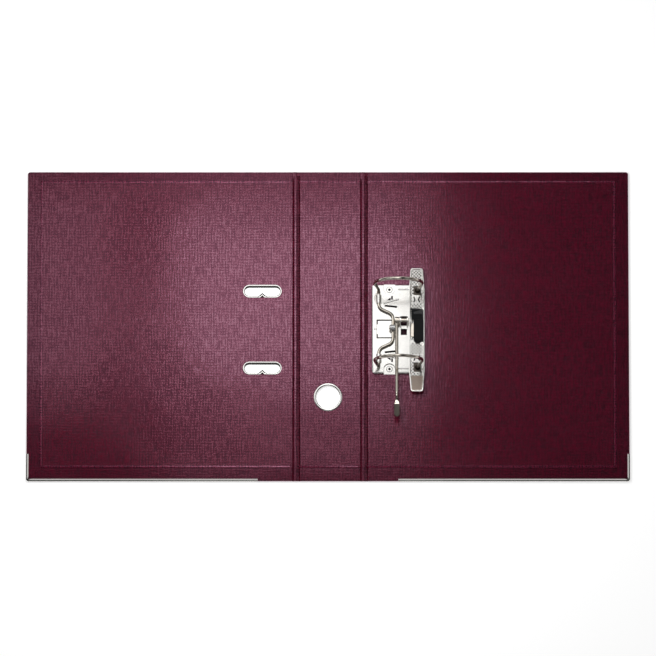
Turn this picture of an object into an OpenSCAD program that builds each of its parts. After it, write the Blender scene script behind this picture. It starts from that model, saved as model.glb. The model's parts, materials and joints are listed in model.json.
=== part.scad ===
// Lever arch file for A4 paper, lying open and flat with its inside up.
// X runs across the file from the front cover to the back cover, Y towards its top edge, Z up.
// The origin lies on the table under the middle of the spine.

/* [Covers] */
// Height of the file, from the bottom rail to the top edge
file_h = 322; // [300:1:330]
// Width of each cover, from its hinge line to its fore-edge rail
cover_w = 272.3; // [262:0.1:286]
// Distance between the two hinge lines, which sets how much the file holds
hinge_pitch = 69; // [62:0.5:84]
// Gap between the boards at each hinge
hinge_gap = 6; // [5.8:0.1:8]
// Thickness of the greyboard
board_t = 1.9; // [1.7:0.1:2.1]
// Thickness of the outer vinyl
wrap_t = 0.3; // [0.25:0.05:0.4]
// Thickness of the inner lining sheet
lining_t = 0.5; // [0.4:0.05:0.6]
// Radius of the outer corners
corner_r = 2.5; // [1.5:0.5:6]

/* [Lining] */
// Width of the turned-in vinyl that shows along the top edge
turn_in_top = 9.4; // [7:0.5:16]
// Width of the turned-in vinyl that shows along the bottom edge
turn_in_bottom = 13.8; // [7:0.5:18]
// Width of the turned-in vinyl that shows along the fore-edges
turn_in_side = 13.4; // [7:0.5:18]

/* [Edge rails] */
// Sheet thickness of the edge rails
rail_t = 0.4; // [0.3:0.05:0.6]
// Width of the rail lips on the two faces of the cover
rail_lip = 2.2; // [1.5:0.1:4]
// Length of the rail along the bottom edge
rail_len = 235; // [150:1:245]
// Length of the rail up the fore-edge
rail_rise = 28; // [10:1:60]

/* [Slots] */
// Length of the opening in a slot eyelet
slot_len = 36; // [30:0.5:44]
// Width of the opening in a slot eyelet
slot_w = 9.8; // [8.5:0.1:12]
// Width of the eyelet flange round the opening
slot_flange = 1.9; // [1.4:0.1:3]
// Thickness of the eyelet sheet
eyelet_t = 0.5; // [0.3:0.05:0.8]
// How far the slots sit nearer to their hinge than the arches do
slot_shift = 4.6; // [0:0.2:6]
// Length of the locking nose that points into the slot
nose_h = 2.4; // [1:0.1:2.8]

/* [Finger ring] */
// Radius of the finger hole
ring_r = 12; // [9:0.5:14]
// Width of the ring flange
ring_flange = 2.6; // [1.8:0.1:4]
// Distance of the finger hole below the middle of the file
ring_y = 73.8; // [60:0.2:110]

/* [Mechanism] */
// Distance of the middle of the mechanism below the middle of the file
mech_down = 3.6; // [0:0.1:20]
// Distance between the two arches, which is the hole pitch of the paper
arch_pitch = 80; // [80:1:80]
// Diameter of the arch wire and of the posts
wire_d = 3.3; // [3:0.1:3.6]
// Distance from the back hinge line to the journals of the arch wire
journal_in = 17.2; // [16:0.1:24]
// Distance between the foot of an arch and the foot of its post
post_span = 39.5; // [38:0.5:41]
// Outward lean of the legs and posts in degrees
leg_lean = 7.5; // [5:0.5:9]
// Where the posts end, in degrees above the middle of the arch circle
post_end = 33; // [20:1:45]
// Sideways reach of the crank in the arch wire
crank_r = 14.5; // [13.6:0.1:14.8]
// Half the length of the straight crank
crank_half = 10; // [9:0.1:12]
// Bend radius of the crank
crank_bend = 7; // [6:0.1:8]
// Angle of the crank bends
crank_angle = 65; // [60:1:75]
// Bend radius at the foot of each arch
foot_bend = 4.5; // [4:0.1:5]

/* [Base plate] */
// Height of the plate above the cover
plate_h = 3.3; // [3:0.1:4.5]
// Sheet thickness of the plate
plate_t = 1; // [0.8:0.05:1.1]
// Length of the plate along the spine
plate_l = 93.4; // [92:0.2:100]
// How far the plate reaches from the journals towards the spine
plate_left = 7.4; // [6.4:0.1:9]
// How far the plate reaches from the journals towards the fore-edge
plate_right = 45; // [44.5:0.1:48]
// Corner radius of the plate
plate_corner = 5; // [3:0.5:7]
// Radius of the rolled-down plate edge
plate_roll = 2.2; // [1.6:0.1:2.6]

/* [Lever] */
// Sideways distance from the crank to the lever arm
lever_off = 3.7; // [3.7:0.1:4.4]
// Diameter of the lever arm
lever_d = 3.2; // [2.8:0.1:3.4]
// Length of the arm from the axle to the bend
lever_len = 72.5; // [60:0.5:80]
// Length of the bent-up thumb end
thumb_len = 27; // [20:0.5:32]
// Width of the thumb end
thumb_w = 5.6; // [5:0.1:9]
// Upward angle of the thumb end in degrees
thumb_up = 24; // [10:1:40]
// Downward slope of the arm in degrees
lever_slope = 5; // [3:0.5:6]
// Radius of the lever axle
axle_r = 2; // [1.6:0.1:2.2]
// Radius of the roller
roller_r = 3; // [2.6:0.1:3.2]
// Length of the roller
roller_l = 5.2; // [4.6:0.1:5.4]
// Radius of the roller pin
roller_pin_r = 1.2; // [1:0.1:1.4]
// Distance from the axle to the roller pin
roller_reach = 7.6; // [7.2:0.1:8.4]

/* [Press bar] */
// Length of the press bar
bar_l = 128; // [118:0.5:134]
// Width of the press bar
bar_w = 15.9; // [15.4:0.1:17]
// Sheet thickness of the press bar
bar_t = 1; // [0.8:0.05:1.2]
// Height of the rim of the press bar
bar_rim = 2.6; // [2.2:0.1:3]
// Offset of the bar outline from the middle of the posts, towards the bottom edge
bar_down = 1.8; // [0:0.1:1.8]
// Length of each bent-up end
bar_end = 17; // [12:0.5:18]
// Length over which the bar narrows towards each tip
bar_taper = 22; // [12:0.5:26]
// Upward bend of the ends in degrees
bar_bend = 7; // [3:0.5:10]
// Width across the tip of the bar
bar_tip = 12.6; // [9:0.1:14]
// Length of the windows that the posts pass through
window_l = 10; // [9:0.1:11]
// Width of the windows that the posts pass through
window_w = 8; // [7.4:0.1:8.4]

/* [Flap] */
// Length of the black flap
flap_l = 22; // [20:0.5:26]
// Length of its tongue
tongue_l = 11; // [6:0.5:13]
// Thickness of the flap
flap_t = 1.8; // [1.4:0.1:2.4]
// Radius of the flap hinge pin
flap_pin_r = 0.7; // [0.5:0.05:0.8]

/* [Fits] */
// Radial play of turning pins in their bores
run_fit = 0.06; // [0.03:0.01:0.1]
// Play between parts that are fixed together
seat_fit = 0.03; // [0.02:0.01:0.06]
// Gap where moving parts pass or rest on one another
pass_gap = 0.3; // [0.2:0.05:0.5]

/* [Hidden] */
$fn = 64;
eps = 0.01;
wire_r = wire_d / 2;
lever_r = lever_d / 2;

// Covers
hinge_x = hinge_pitch / 2;
flange_z = wrap_t + board_t;
turn_top = flange_z + wrap_t;
inner_z = flange_z + lining_t;
edge_x = hinge_x + cover_w - rail_t;
top_y = file_h / 2;
bottom_y = -file_h / 2 + rail_t;
panel_h = top_y - bottom_y;
panel_x = hinge_x + hinge_gap / 2;
panel_w = edge_x - panel_x;
strip_z = 0.1;

// Mechanism axes
mech_y = -mech_down;
journal_x = hinge_x + journal_in;
plate_z = inner_z + plate_h;
sheet_z = plate_z - plate_t;
axis_z = plate_z + wire_r + pass_gap + 0.15;
arch_y = arch_pitch / 2;
mid_x = post_span / 2;
seat_in = 1.35;
arch_top = hinge_pitch + 2 * strip_z - inner_z + seat_in;
arch_rise = arch_top - wire_r - axis_z;
arch_fit = (arch_rise * tan(leg_lean) + post_span / 2) / (cos(leg_lean) + tan(leg_lean) * (1 + sin(leg_lean)));
arch_r = round(1000 * arch_fit) / 1000;
leg_z = arch_top - wire_r - axis_z - arch_r * (1 + sin(leg_lean));
leg_l = round(1000 * leg_z / cos(leg_lean)) / 1000;
tip_gap = 0.15;
tip_l = 1.5;

// Slots and ring
slot_y = arch_y;
slot_x = -(journal_x + mid_x) + slot_shift;
slot_out_l = slot_len + 2 * slot_flange;
slot_out_w = slot_w + 2 * slot_flange;
slot_cut_l = slot_len + 2 * eyelet_t + 2 * seat_fit;
slot_cut_w = slot_w + 2 * eyelet_t + 2 * seat_fit;
nose_w = 6.4;
ring_out = ring_r + ring_flange;
ring_cut = ring_r + eyelet_t + seat_fit;

// Wire
swing_l = (crank_r - 2 * crank_bend * (1 - cos(crank_angle))) / sin(crank_angle);
swing_y = crank_half + 2 * crank_bend * sin(crank_angle) + swing_l * cos(crank_angle);
loop_out = arch_y - foot_bend - 0.6;
loop_in = swing_y + 0.8;
loop_t = 1;

// Plate
rivet_x = 10.8;
rivet_y = arch_y + 1.2;
rivet_r = 2;
head_r = 4.2;
head_t = 0.7;
pocket_w = 11.4;
pocket_in = 5.2;
hidden_x = 39;
hidden_y = 24;
pocket_r = 4.6;
bracket_x = crank_r + lever_off + lever_r + 1.7;
bracket_w = 8;
ear_t = 1.1;
ear_r = 4.2;
spring_x0 = -1;
spring_x1 = crank_r + 0.8;
spring_w = 17;
spring_t = 0.6;
spring_slot = 1.1;
spring_rivet_x = -3.6;
spring_rivet_r = 0.7;

// Lever
dip = 20;
axle_y = roller_reach * cos(dip);
axle_z = axis_z + wire_r + 0.1 + roller_r + roller_reach * sin(dip);
lever_x = crank_r + lever_off;
hub_r = 3.6;
lever_bend = 8;
thumb_neck = 2;
neck_r = 1.1;
thumb_cone = 12;
thumb_t = 1.8;
hub_l = 4.6;
cheek_t = 1.5;
roller_end = lever_x - lever_r - 0.2;
roller_pin_head = 1.9;
axle_end = bracket_x + bracket_w + 0.9;

// Press bar
bar_x = bracket_x + bracket_w + 1.2 + bar_w / 2;
bar_z = plate_z + pass_gap;
window_x = post_span - (axis_z - bar_z - bar_t / 2) * tan(leg_lean);
bar_wall = 1.1;
bar_mid = bar_l / 2 - bar_end;
flap_x = bar_x - bar_w / 2 + 2.8;
flap_z = bar_z + bar_rim;
flap_y0 = -flap_l / 2 - 2;
barrel_r = flap_pin_r + 0.75;
barrel_y0 = flap_y0 + 4;
barrel_l = flap_l - 8;
lug_t = 1.6;
flap_in = flap_x + 1.9;
flap_out = bar_x + bar_w / 2 - bar_wall - 0.2;

vinyl = [0.29, 0.07, 0.14];
lining_c = [0.33, 0.09, 0.17];
greyboard = [0.55, 0.52, 0.47];
nickel = [0.8, 0.8, 0.8];
spring_c = [0.65, 0.66, 0.68];
black = [0.06, 0.06, 0.06];

// Outline of one cover panel, grown by g on its free sides, hinge side straight
module panel_2d(g) {
    r = corner_r + g;
    x1 = edge_x + g;
    y0 = bottom_y - g;
    y1 = top_y + min(g, 0);
    translate([panel_x, y0 + r])
        square([x1 - panel_x, y1 - y0 - 2 * r]);
    translate([panel_x, y0])
        square([x1 - r - panel_x, y1 - y0]);
    translate([x1 - r, y0 + r])
        circle(r);
    translate([x1 - r, y1 - r])
        circle(r);
}

// Part of the cover edge that carries a rail, reaching w in from the edge
module rail_zone(w) {
    translate([edge_x - rail_len, bottom_y - 2])
        square([rail_len + 2, 2 + w]);
    translate([edge_x - w, bottom_y - 2])
        square([w + 2, 2 + rail_rise]);
}

// Strip of the panel outline that a rail lip covers
module lip_2d(g) {
    intersection() {
        difference() {
            panel_2d(g);
            panel_2d(-rail_lip);
        }
        rail_zone(rail_lip);
    }
}

// Rounded opening with half-round ends
module obround(l, w) {
    square([l - w, w], center = true);
    translate([(l - w) / 2, 0])
        circle(w / 2);
    translate([-(l - w) / 2, 0])
        circle(w / 2);
}

// Both slots at the front cover, drawn on the mirrored panel
module slots_2d(l, w) {
    for (s = [-1, 1])
        translate([-slot_x, mech_y + s * slot_y])
            obround(l, w);
}

// Rivet places on the back cover
module rivet_places() {
    for (s = [-1, 1]) {
        translate([journal_x + rivet_x, mech_y + s * rivet_y])
            children();
        translate([journal_x + hidden_x, mech_y + s * hidden_y])
            children();
    }
}

// Board of one cover
module cover_board() {
    difference() {
        translate([0, 0, wrap_t])
            linear_extrude(board_t)
                panel_2d(-wrap_t);
        translate([0, 0, -eps])
            linear_extrude(rail_t + eps)
                lip_2d(0);
    }
}

// Outer vinyl of one cover with its turned-in edges
module cover_wrap() {
    difference() {
        linear_extrude(turn_top)
            panel_2d(0);
        translate([0, 0, wrap_t])
            linear_extrude(board_t)
                panel_2d(-wrap_t);
        translate([0, 0, wrap_t])
            linear_extrude(board_t + wrap_t + eps)
                translate([panel_x - eps, bottom_y + turn_in_bottom])
                    square([panel_w - turn_in_side + eps, panel_h - turn_in_bottom - turn_in_top]);
        translate([0, 0, -eps])
            linear_extrude(rail_t + eps)
                lip_2d(0.5);
    }
}

// Lining sheet of one cover
module cover_lining() {
    translate([panel_x, bottom_y + turn_in_bottom, flange_z])
        cube([panel_w - turn_in_side, panel_h - turn_in_bottom - turn_in_top, lining_t]);
}

// Folded rail on the bottom edge and outer corner of one cover
module cover_rail() {
    linear_extrude(turn_top + rail_t)
        intersection() {
            difference() {
                panel_2d(rail_t);
                panel_2d(0);
            }
            rail_zone(rail_lip);
        }
    linear_extrude(rail_t)
        lip_2d(rail_t);
    translate([0, 0, turn_top])
        linear_extrude(rail_t)
            lip_2d(rail_t);
}

module back_board() {
    color(greyboard)
        difference() {
            cover_board();
            rivet_cuts();
        }
}

module back_wrap() {
    color(vinyl)
        difference() {
            cover_wrap();
            rivet_cuts();
        }
}

module back_lining() {
    color(lining_c)
        difference() {
            cover_lining();
            rivet_cuts();
        }
}

module back_edge_rail() {
    color(nickel)
        cover_rail();
}

// Holes for the rivets and their flush heads
module rivet_cuts() {
    translate([0, 0, -1])
        linear_extrude(inner_z + 2)
            rivet_places()
                circle(rivet_r + seat_fit);
    translate([0, 0, -1])
        linear_extrude(1 + head_t)
            rivet_places()
                circle(head_r + seat_fit);
}

module front_board() {
    color(greyboard)
        mirror([1, 0, 0])
            difference() {
                cover_board();
                slot_cuts();
            }
}

module front_wrap() {
    color(vinyl)
        mirror([1, 0, 0])
            difference() {
                cover_wrap();
                slot_cuts();
            }
}

module front_lining() {
    color(lining_c)
        mirror([1, 0, 0])
            difference() {
                cover_lining();
                slot_cuts();
            }
}

module front_edge_rail() {
    color(nickel)
        mirror([1, 0, 0])
            cover_rail();
}

// Openings for the slot eyelets and the flush seats of their washers
module slot_cuts() {
    translate([0, 0, -1])
        linear_extrude(inner_z + 2)
            slots_2d(slot_cut_l, slot_cut_w);
    translate([0, 0, -1])
        linear_extrude(1 + eyelet_t)
            slots_2d(slot_out_l + 2 * seat_fit, slot_out_w + 2 * seat_fit);
}

module spine_board() {
    color(greyboard)
        difference() {
            translate([-hinge_x + hinge_gap / 2, bottom_y + wrap_t, wrap_t])
                cube([hinge_pitch - hinge_gap, panel_h - 2 * wrap_t, board_t]);
            ring_cuts();
        }
}

module spine_wrap() {
    w = hinge_pitch - hinge_gap;
    color(vinyl)
        difference() {
            translate([-w / 2, bottom_y, 0])
                cube([w, panel_h, turn_top]);
            translate([-w / 2 - 1, bottom_y + wrap_t, wrap_t])
                cube([w + 2, panel_h - 2 * wrap_t, board_t]);
            translate([-w / 2 - 1, bottom_y + turn_in_bottom, wrap_t])
                cube([w + 2, panel_h - turn_in_bottom - turn_in_top, turn_top]);
            ring_cuts();
        }
}

module spine_lining() {
    w = hinge_pitch - hinge_gap;
    color(lining_c)
        difference() {
            translate([-w / 2, bottom_y + turn_in_bottom, flange_z])
                cube([w, panel_h - turn_in_bottom - turn_in_top, lining_t]);
            ring_cuts();
        }
}

// Hole for the finger ring and the flush seat of its washer
module ring_cuts() {
    translate([0, -ring_y, -1])
        cylinder(h = inner_z + 2, r = ring_cut);
    translate([0, -ring_y, -1])
        cylinder(h = 1 + eyelet_t, r = ring_out + seat_fit);
}

module finger_ring() {
    color(nickel)
        translate([0, -ring_y, 0])
            rotate_extrude()
                finger_ring_2d();
}

// Half section of the finger ring, tube and rounded flange
module finger_ring_2d() {
    h = inner_z + eyelet_t;
    translate([ring_r, eyelet_t])
        square([eyelet_t, inner_z]);
    translate([ring_r + eyelet_t / 2, inner_z])
        square([ring_flange - eyelet_t, eyelet_t]);
    intersection() {
        translate([ring_r + ring_flange / 2, inner_z])
            circle(ring_flange / 2);
        translate([ring_r, inner_z])
            square([ring_flange, ring_flange]);
    }
}

module finger_ring_washer() {
    color(nickel)
        translate([0, -ring_y, 0])
            difference() {
                cylinder(h = eyelet_t, r = ring_out);
                translate([0, 0, -1])
                    cylinder(h = 3, r = ring_r);
            }
}

// Flange of a slot eyelet on the inner face, with the nose and the dent behind it
module eyelet_flange() {
    translate([0, 0, inner_z])
        linear_extrude(eyelet_t)
            difference() {
                union() {
                    difference() {
                        obround(slot_out_l, slot_out_w);
                        obround(slot_len, slot_w);
                    }
                    translate([0, -slot_w / 2])
                        polygon([[-nose_w / 2, -0.6], [nose_w / 2, -0.6], [0, nose_h]]);
                }
                translate([0, -slot_out_w / 2])
                    polygon([[-2.3, -0.1], [2.3, -0.1], [0, slot_flange + 0.2]]);
            }
}

// One eyelet in place on the front cover
module placed_eyelet(s) {
    translate([slot_x, mech_y + s * slot_y, 0]) {
        difference() {
            translate([0, 0, eyelet_t])
                linear_extrude(inner_z)
                    difference() {
                        obround(slot_len + 2 * eyelet_t, slot_w + 2 * eyelet_t);
                        obround(slot_len, slot_w);
                    }
            translate([0, -slot_out_w / 2, inner_z])
                linear_extrude(2 * eyelet_t)
                    polygon([[-2.3, -0.1], [2.3, -0.1], [0, slot_flange + 0.2]]);
        }
        eyelet_flange();
    }
}

module placed_washer(s) {
    translate([slot_x, mech_y + s * slot_y, 0])
        linear_extrude(eyelet_t)
            difference() {
                obround(slot_out_l, slot_out_w);
                obround(slot_len, slot_w);
            }
}

module upper_slot_eyelet() {
    color(nickel)
        placed_eyelet(1);
}

module lower_slot_eyelet() {
    color(nickel)
        placed_eyelet(-1);
}

module upper_slot_washer() {
    color(nickel)
        placed_washer(1);
}

module lower_slot_washer() {
    color(nickel)
        placed_washer(-1);
}

// Vinyl joint between two boards, pressed into two creases with a ridge between them
module hinge_strip() {
    g = hinge_gap / 2;
    translate([0, top_y, 0])
        rotate([90, 0, 0])
            linear_extrude(panel_h)
                polygon([
                    [-g, strip_z], [g, strip_z],
                    [g, flange_z * 0.95], [g * 0.88, flange_z * 0.72], [g * 0.72, flange_z * 0.45],
                    [g * 0.5, flange_z * 0.5], [g * 0.25, flange_z * 0.72], [0, flange_z * 0.8],
                    [-g * 0.25, flange_z * 0.72], [-g * 0.5, flange_z * 0.5], [-g * 0.72, flange_z * 0.45],
                    [-g * 0.88, flange_z * 0.72], [-g, flange_z * 0.95]
                ]);
}

module back_hinge_strip() {
    color(vinyl)
        translate([hinge_x, 0, 0])
            hinge_strip();
}

module front_hinge_strip() {
    color(vinyl)
        translate([-hinge_x, 0, 0])
            hinge_strip();
}

// Moves to the mechanism: x from the journals, y from its middle
module at_mech() {
    translate([journal_x, mech_y, 0])
        children();
}

module plate_2d(g) {
    r = plate_corner + g;
    x0 = -plate_left - g;
    x1 = plate_right + g;
    y1 = plate_l / 2 + g;
    translate([x0, -y1 + r])
        square([x1 - x0, 2 * y1 - 2 * r]);
    translate([x0 + r, -y1])
        square([x1 - x0 - 2 * r, 2 * y1]);
    for (x = [x0 + r, x1 - r])
        for (y = [-y1 + r, y1 - r])
            translate([x, y])
                circle(r);
}

// Section of the plate with rolled-down edges, from a to b, top at h
module roll_2d(a, b, h, r) {
    translate([a, -1])
        square([b - a, h - r + 1]);
    translate([a + r, -1])
        square([b - a - 2 * r, h + 1]);
    translate([a + r, h - r])
        circle(r);
    translate([b - r, h - r])
        circle(r);
}

// Plate as a solid block with rolled edges, set in by g on all sides but its underside
module plate_block(g) {
    z = inner_z - (g > 0 ? 0.5 : 0);
    h = plate_z - g;
    r = plate_roll - g;
    y1 = plate_l / 2 - g;
    intersection() {
        translate([0, 0, z])
            linear_extrude(h - z)
                plate_2d(-g);
        translate([0, 100, 0])
            rotate([90, 0, 0])
                linear_extrude(200)
                    roll_2d(-plate_left + g, plate_right - g, h, r);
        translate([-100, 0, 0])
            rotate([90, 0, 90])
                linear_extrude(200)
                    roll_2d(-y1, y1, h, r);
    }
}

// Outline of the pressed-in pocket round a rivet at the plate edge
module pocket_2d(g) {
    translate([rivet_x, rivet_y - pocket_in + pocket_w / 2])
        circle(pocket_w / 2 + g);
    translate([rivet_x - pocket_w / 2 - g, rivet_y - pocket_in + pocket_w / 2])
        square([pocket_w + 2 * g, plate_l / 2 - rivet_y + pocket_in - pocket_w / 2]);
}

// Upright loop that holds a journal of the arch wire
module bearing_loop() {
    r = wire_r + run_fit + loop_t;
    translate([0, loop_out, axis_z])
        rotate([90, 0, 0])
            cylinder(h = loop_out - loop_in, r = r);
    translate([-r, loop_in, sheet_z])
        cube([2 * r, loop_out - loop_in, axis_z - sheet_z]);
}

module ear(x) {
    translate([x, axle_y, axle_z])
        rotate([0, 90, 0])
            cylinder(h = ear_t, r = ear_r);
    translate([x, axle_y - ear_r, sheet_z])
        cube([ear_t, 2 * ear_r, axle_z - sheet_z]);
}

module base_plate() {
    color(nickel)
        at_mech()
            difference() {
                union() {
                    difference() {
                        plate_block(0);
                        plate_block(plate_t);
                    }
                    for (s = [0, 1])
                        mirror([0, s, 0]) {
                            intersection() {
                                plate_block(0);
                                translate([0, 0, inner_z])
                                    linear_extrude(plate_h)
                                        pocket_2d(plate_t);
                            }
                            translate([hidden_x, hidden_y, inner_z])
                                cylinder(h = plate_h, r = pocket_r + plate_t);
                            bearing_loop();
                            plate_rib();
                            edge_step();
                        }
                    ear(bracket_x);
                    ear(bracket_x + bracket_w - ear_t);
                }
                for (s = [0, 1])
                    mirror([0, s, 0]) {
                        plate_cuts();
                    }
                plate_openings();
            }
}

// Cuts that both halves of the plate share
module plate_cuts() {
    translate([0, 0, inner_z + plate_t])
        linear_extrude(plate_h)
            pocket_2d(0);
    translate([rivet_x, rivet_y, 0])
        cylinder(h = 20, r = rivet_r + seat_fit);
    translate([hidden_x, hidden_y, inner_z + plate_t])
        cylinder(h = plate_h, r = pocket_r);
    translate([hidden_x, hidden_y, 0])
        cylinder(h = 20, r = rivet_r + seat_fit);
    translate([0, loop_out + 1, axis_z])
        rotate([90, 0, 0])
            cylinder(h = loop_out - loop_in + 2, r = wire_r + run_fit);
    translate([post_span, arch_y, 0])
        cylinder(h = 20, r = 1.6 + seat_fit);
    rib_slot();
    translate([rivet_x, rivet_y - pocket_in - plate_t - 5.2, sheet_z - 1])
        linear_extrude(4) {
            polygon([[-2.6, 0], [1.2, 0], [1.2, 3]]);
            translate([1.8, 0.6])
                square([1.7, 4]);
        }
}

// Raised bead beside the crank, and the lanced slot next to it
module plate_rib() {
    translate([5.6, 27, plate_z])
        rotate([0, 0, 15])
            bead(14.6, 0.8);
}

module bead(l, r) {
    intersection() {
        union() {
            rotate([0, 90, 0])
                cylinder(h = l, r = r);
            sphere(r);
            translate([l, 0, 0])
                sphere(r);
        }
        translate([-2, -2, -0.3])
            cube([l + 4, 4, 4]);
    }
}

module rib_slot() {
    translate([12.3, 23.6, sheet_z - 1])
        rotate([0, 0, -6])
            translate([-6.2, -0.8, 0])
                cube([12.4, 1.6, 4]);
}

// Stiffening step along the edge of the plate
module edge_step() {
    x0 = rivet_x + pocket_w / 2 + 4;
    r = 0.7;
    translate([x0, plate_l / 2 - 5.6, plate_z])
        bead(bar_x - bar_w / 2 - pass_gap - r - x0, r);
}

// Openings in the middle of the plate: spring window, struck-out bracket, axle bore
module plate_openings() {
    translate([spring_x0 - spring_slot, -spring_w / 2 - spring_slot, sheet_z - 1])
        cube([spring_x1 - spring_x0 + 2 * spring_slot, spring_w + 2 * spring_slot, plate_t + 2]);
    translate([bracket_x + ear_t, axle_y - ear_r - 9, sheet_z - 1])
        cube([bracket_w - 2 * ear_t, 6, plate_t + 2]);
    translate([bracket_x + ear_t, axle_y - ear_r + 0.6, sheet_z - 1])
        cube([bracket_w - 2 * ear_t, 2 * ear_r + 1.2, plate_t + 2]);
    translate([bracket_x - 1, axle_y, axle_z])
        rotate([0, 90, 0])
            cylinder(h = bracket_w + 2, r = axle_r + run_fit);
    translate([spring_rivet_x, 0, 0])
        cylinder(h = 20, r = spring_rivet_r + seat_fit);
}

module plate_rivets() {
    color(nickel)
        rivet_places()
            plate_rivet();
}

// Hollow rivet with a flush head on the outside and a rolled end on the plate
module plate_rivet() {
    top = inner_z + plate_t;
    difference() {
        union() {
            cylinder(h = head_t, r = head_r);
            cylinder(h = top + 0.6, r = rivet_r);
            translate([0, 0, top])
                cylinder(h = 0.6, r1 = rivet_r + 1.2, r2 = rivet_r + 0.7);
        }
        translate([0, 0, head_t + 0.5])
            cylinder(h = 20, r = rivet_r - 0.7);
    }
}

// Fixed post: riveted foot, straight leg and bent tip with a socket
module post(s) {
    sweep = post_end + leg_lean;
    at_mech()
        translate([post_span, s * arch_y, 0])
            difference() {
                union() {
                    translate([0, 0, sheet_z - 0.8])
                        cylinder(h = 0.8, r = 2.6);
                    translate([0, 0, sheet_z - 0.4])
                        cylinder(h = plate_t + 0.8, r = 1.6);
                    translate([0, 0, plate_z])
                        cylinder(h = 1.3, r = 2.8);
                    translate([0, 0, axis_z])
                        rotate([0, leg_lean, 0]) {
                            translate([0, 0, -1.4])
                                cylinder(h = leg_l + 1.4, r = wire_r);
                            translate([-arch_r, 0, leg_l])
                                rotate([90, 0, 0])
                                    rotate_extrude(angle = sweep)
                                        translate([arch_r, 0])
                                            circle(wire_r);
                        }
                }
                translate([0, 0, axis_z])
                    rotate([0, leg_lean, 0])
                        translate([-arch_r, 0, leg_l])
                            rotate([0, -sweep, 0])
                                translate([arch_r, 0, 0])
                                    mirror([0, 0, 1])
                                        translate([0, 0, -eps])
                                            cylinder(h = tip_l + 0.2, r1 = wire_r - 0.25, r2 = 0.3);
            }
}

module upper_post() {
    color(nickel)
        post(1);
}

module lower_post() {
    color(nickel)
        post(-1);
}

module leaf_spring() {
    color(spring_c)
        at_mech()
            difference() {
                union() {
                    translate([spring_x0, -spring_w / 2, sheet_z])
                        rotate([0, -1, 0])
                            cube([spring_x1 - spring_x0, spring_w, spring_t]);
                    translate([spring_rivet_x - 1.5, -5, sheet_z - spring_t])
                        cube([spring_x0 - spring_rivet_x + 2.9, 10, spring_t]);
                    translate([spring_x0, -5, sheet_z - spring_t])
                        cube([1.4, 10, 2 * spring_t]);
                }
                translate([spring_rivet_x, 0, 0])
                    cylinder(h = 20, r = spring_rivet_r + seat_fit);
            }
}

module spring_rivet() {
    color(nickel)
        at_mech()
            translate([spring_rivet_x, 0, 0]) {
                translate([0, 0, sheet_z - spring_t - 0.5])
                    cylinder(h = 0.5, r = 1.2);
                translate([0, 0, sheet_z - spring_t - 0.5])
                    cylinder(h = plate_t + spring_t + 0.7, r = spring_rivet_r);
                translate([0, 0, plate_z])
                    cylinder(h = 0.5, r1 = 1.2, r2 = 0.8);
            }
}

// Slight swelling left where the wire was gripped for a bend
module knuckle(r) {
    sphere(r + 0.02);
}

// One half of the arch wire, from the middle of the crank to the tip of its arch
module half_wire() {
    b = crank_angle;
    sweep = 180 + leg_lean - post_end - tip_gap / arch_r * 180 / PI;
    translate([0, 0, axis_z]) {
        translate([crank_r - crank_bend, crank_half, 0]) {
            translate([crank_bend, 0, 0])
                knuckle(wire_r);
            rotate_extrude(angle = b)
                translate([crank_bend, 0])
                    circle(wire_r);
            rotate([0, 0, b])
                translate([crank_bend, 0, 0])
                    rotate([-90, 0, 0]) {
                        knuckle(wire_r);
                        cylinder(h = swing_l, r = wire_r);
                        translate([0, 0, swing_l])
                            knuckle(wire_r);
                    }
        }
        translate([crank_bend, swing_y, 0])
            rotate([0, 0, 180])
                rotate_extrude(angle = b)
                    translate([crank_bend, 0])
                        circle(wire_r);
        translate([0, swing_y, 0]) {
            knuckle(wire_r);
            rotate([-90, 0, 0])
                cylinder(h = arch_y - foot_bend - swing_y, r = wire_r);
        }
        rotate([0, -leg_lean, 0]) {
            translate([0, arch_y - foot_bend, 0])
                knuckle(wire_r);
            translate([0, arch_y - foot_bend, foot_bend])
                rotate([0, 90, 0])
                    rotate_extrude(angle = 90)
                        translate([foot_bend, 0])
                            circle(wire_r);
            translate([0, arch_y, foot_bend]) {
                knuckle(wire_r);
                cylinder(h = leg_l - foot_bend, r = wire_r);
            }
            translate([arch_r, arch_y, leg_l])
                arch_arc(sweep);
        }
    }
}

// Round of the arch with its pointed tip
module arch_arc(sweep) {
    translate([-arch_r, 0, 0])
        knuckle(wire_r);
    rotate([90, 0, 0])
        rotate([0, 0, 180 - sweep])
            rotate_extrude(angle = sweep)
                translate([arch_r, 0])
                    circle(wire_r);
    rotate([0, sweep - 180, 0])
        translate([arch_r, 0, 0.3])
            mirror([0, 0, 1])
                cylinder(h = tip_l + 0.3, r1 = wire_r - 0.4, r2 = 0.25);
}

module arch_wire() {
    color(nickel)
        at_mech() {
            translate([crank_r, -crank_half, axis_z])
                rotate([-90, 0, 0])
                    cylinder(h = 2 * crank_half, r = wire_r);
            for (s = [0, 1])
                mirror([0, s, 0])
                    half_wire();
        }
}

// Lever: hub on the axle, cheek for the roller pin, round arm and bent-up thumb end
module lever_arm() {
    color(nickel)
        at_mech()
            translate([lever_x, axle_y, axle_z])
                difference() {
                    union() {
                        translate([-lever_r, 0, 0])
                            rotate([0, 90, 0])
                                cylinder(h = hub_l, r = hub_r);
                        translate([-lever_r, 0, 0])
                            roller_cheek();
                        rotate([lever_slope, 0, 0])
                            lever_rod();
                    }
                    translate([-10, 0, 0])
                        rotate([0, 90, 0])
                            cylinder(h = 20, r = axle_r + seat_fit);
                    translate([-10, -roller_reach * cos(dip), -roller_reach * sin(dip)])
                        rotate([0, 90, 0])
                            cylinder(h = 20, r = roller_pin_r + seat_fit);
                }
}

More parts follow.
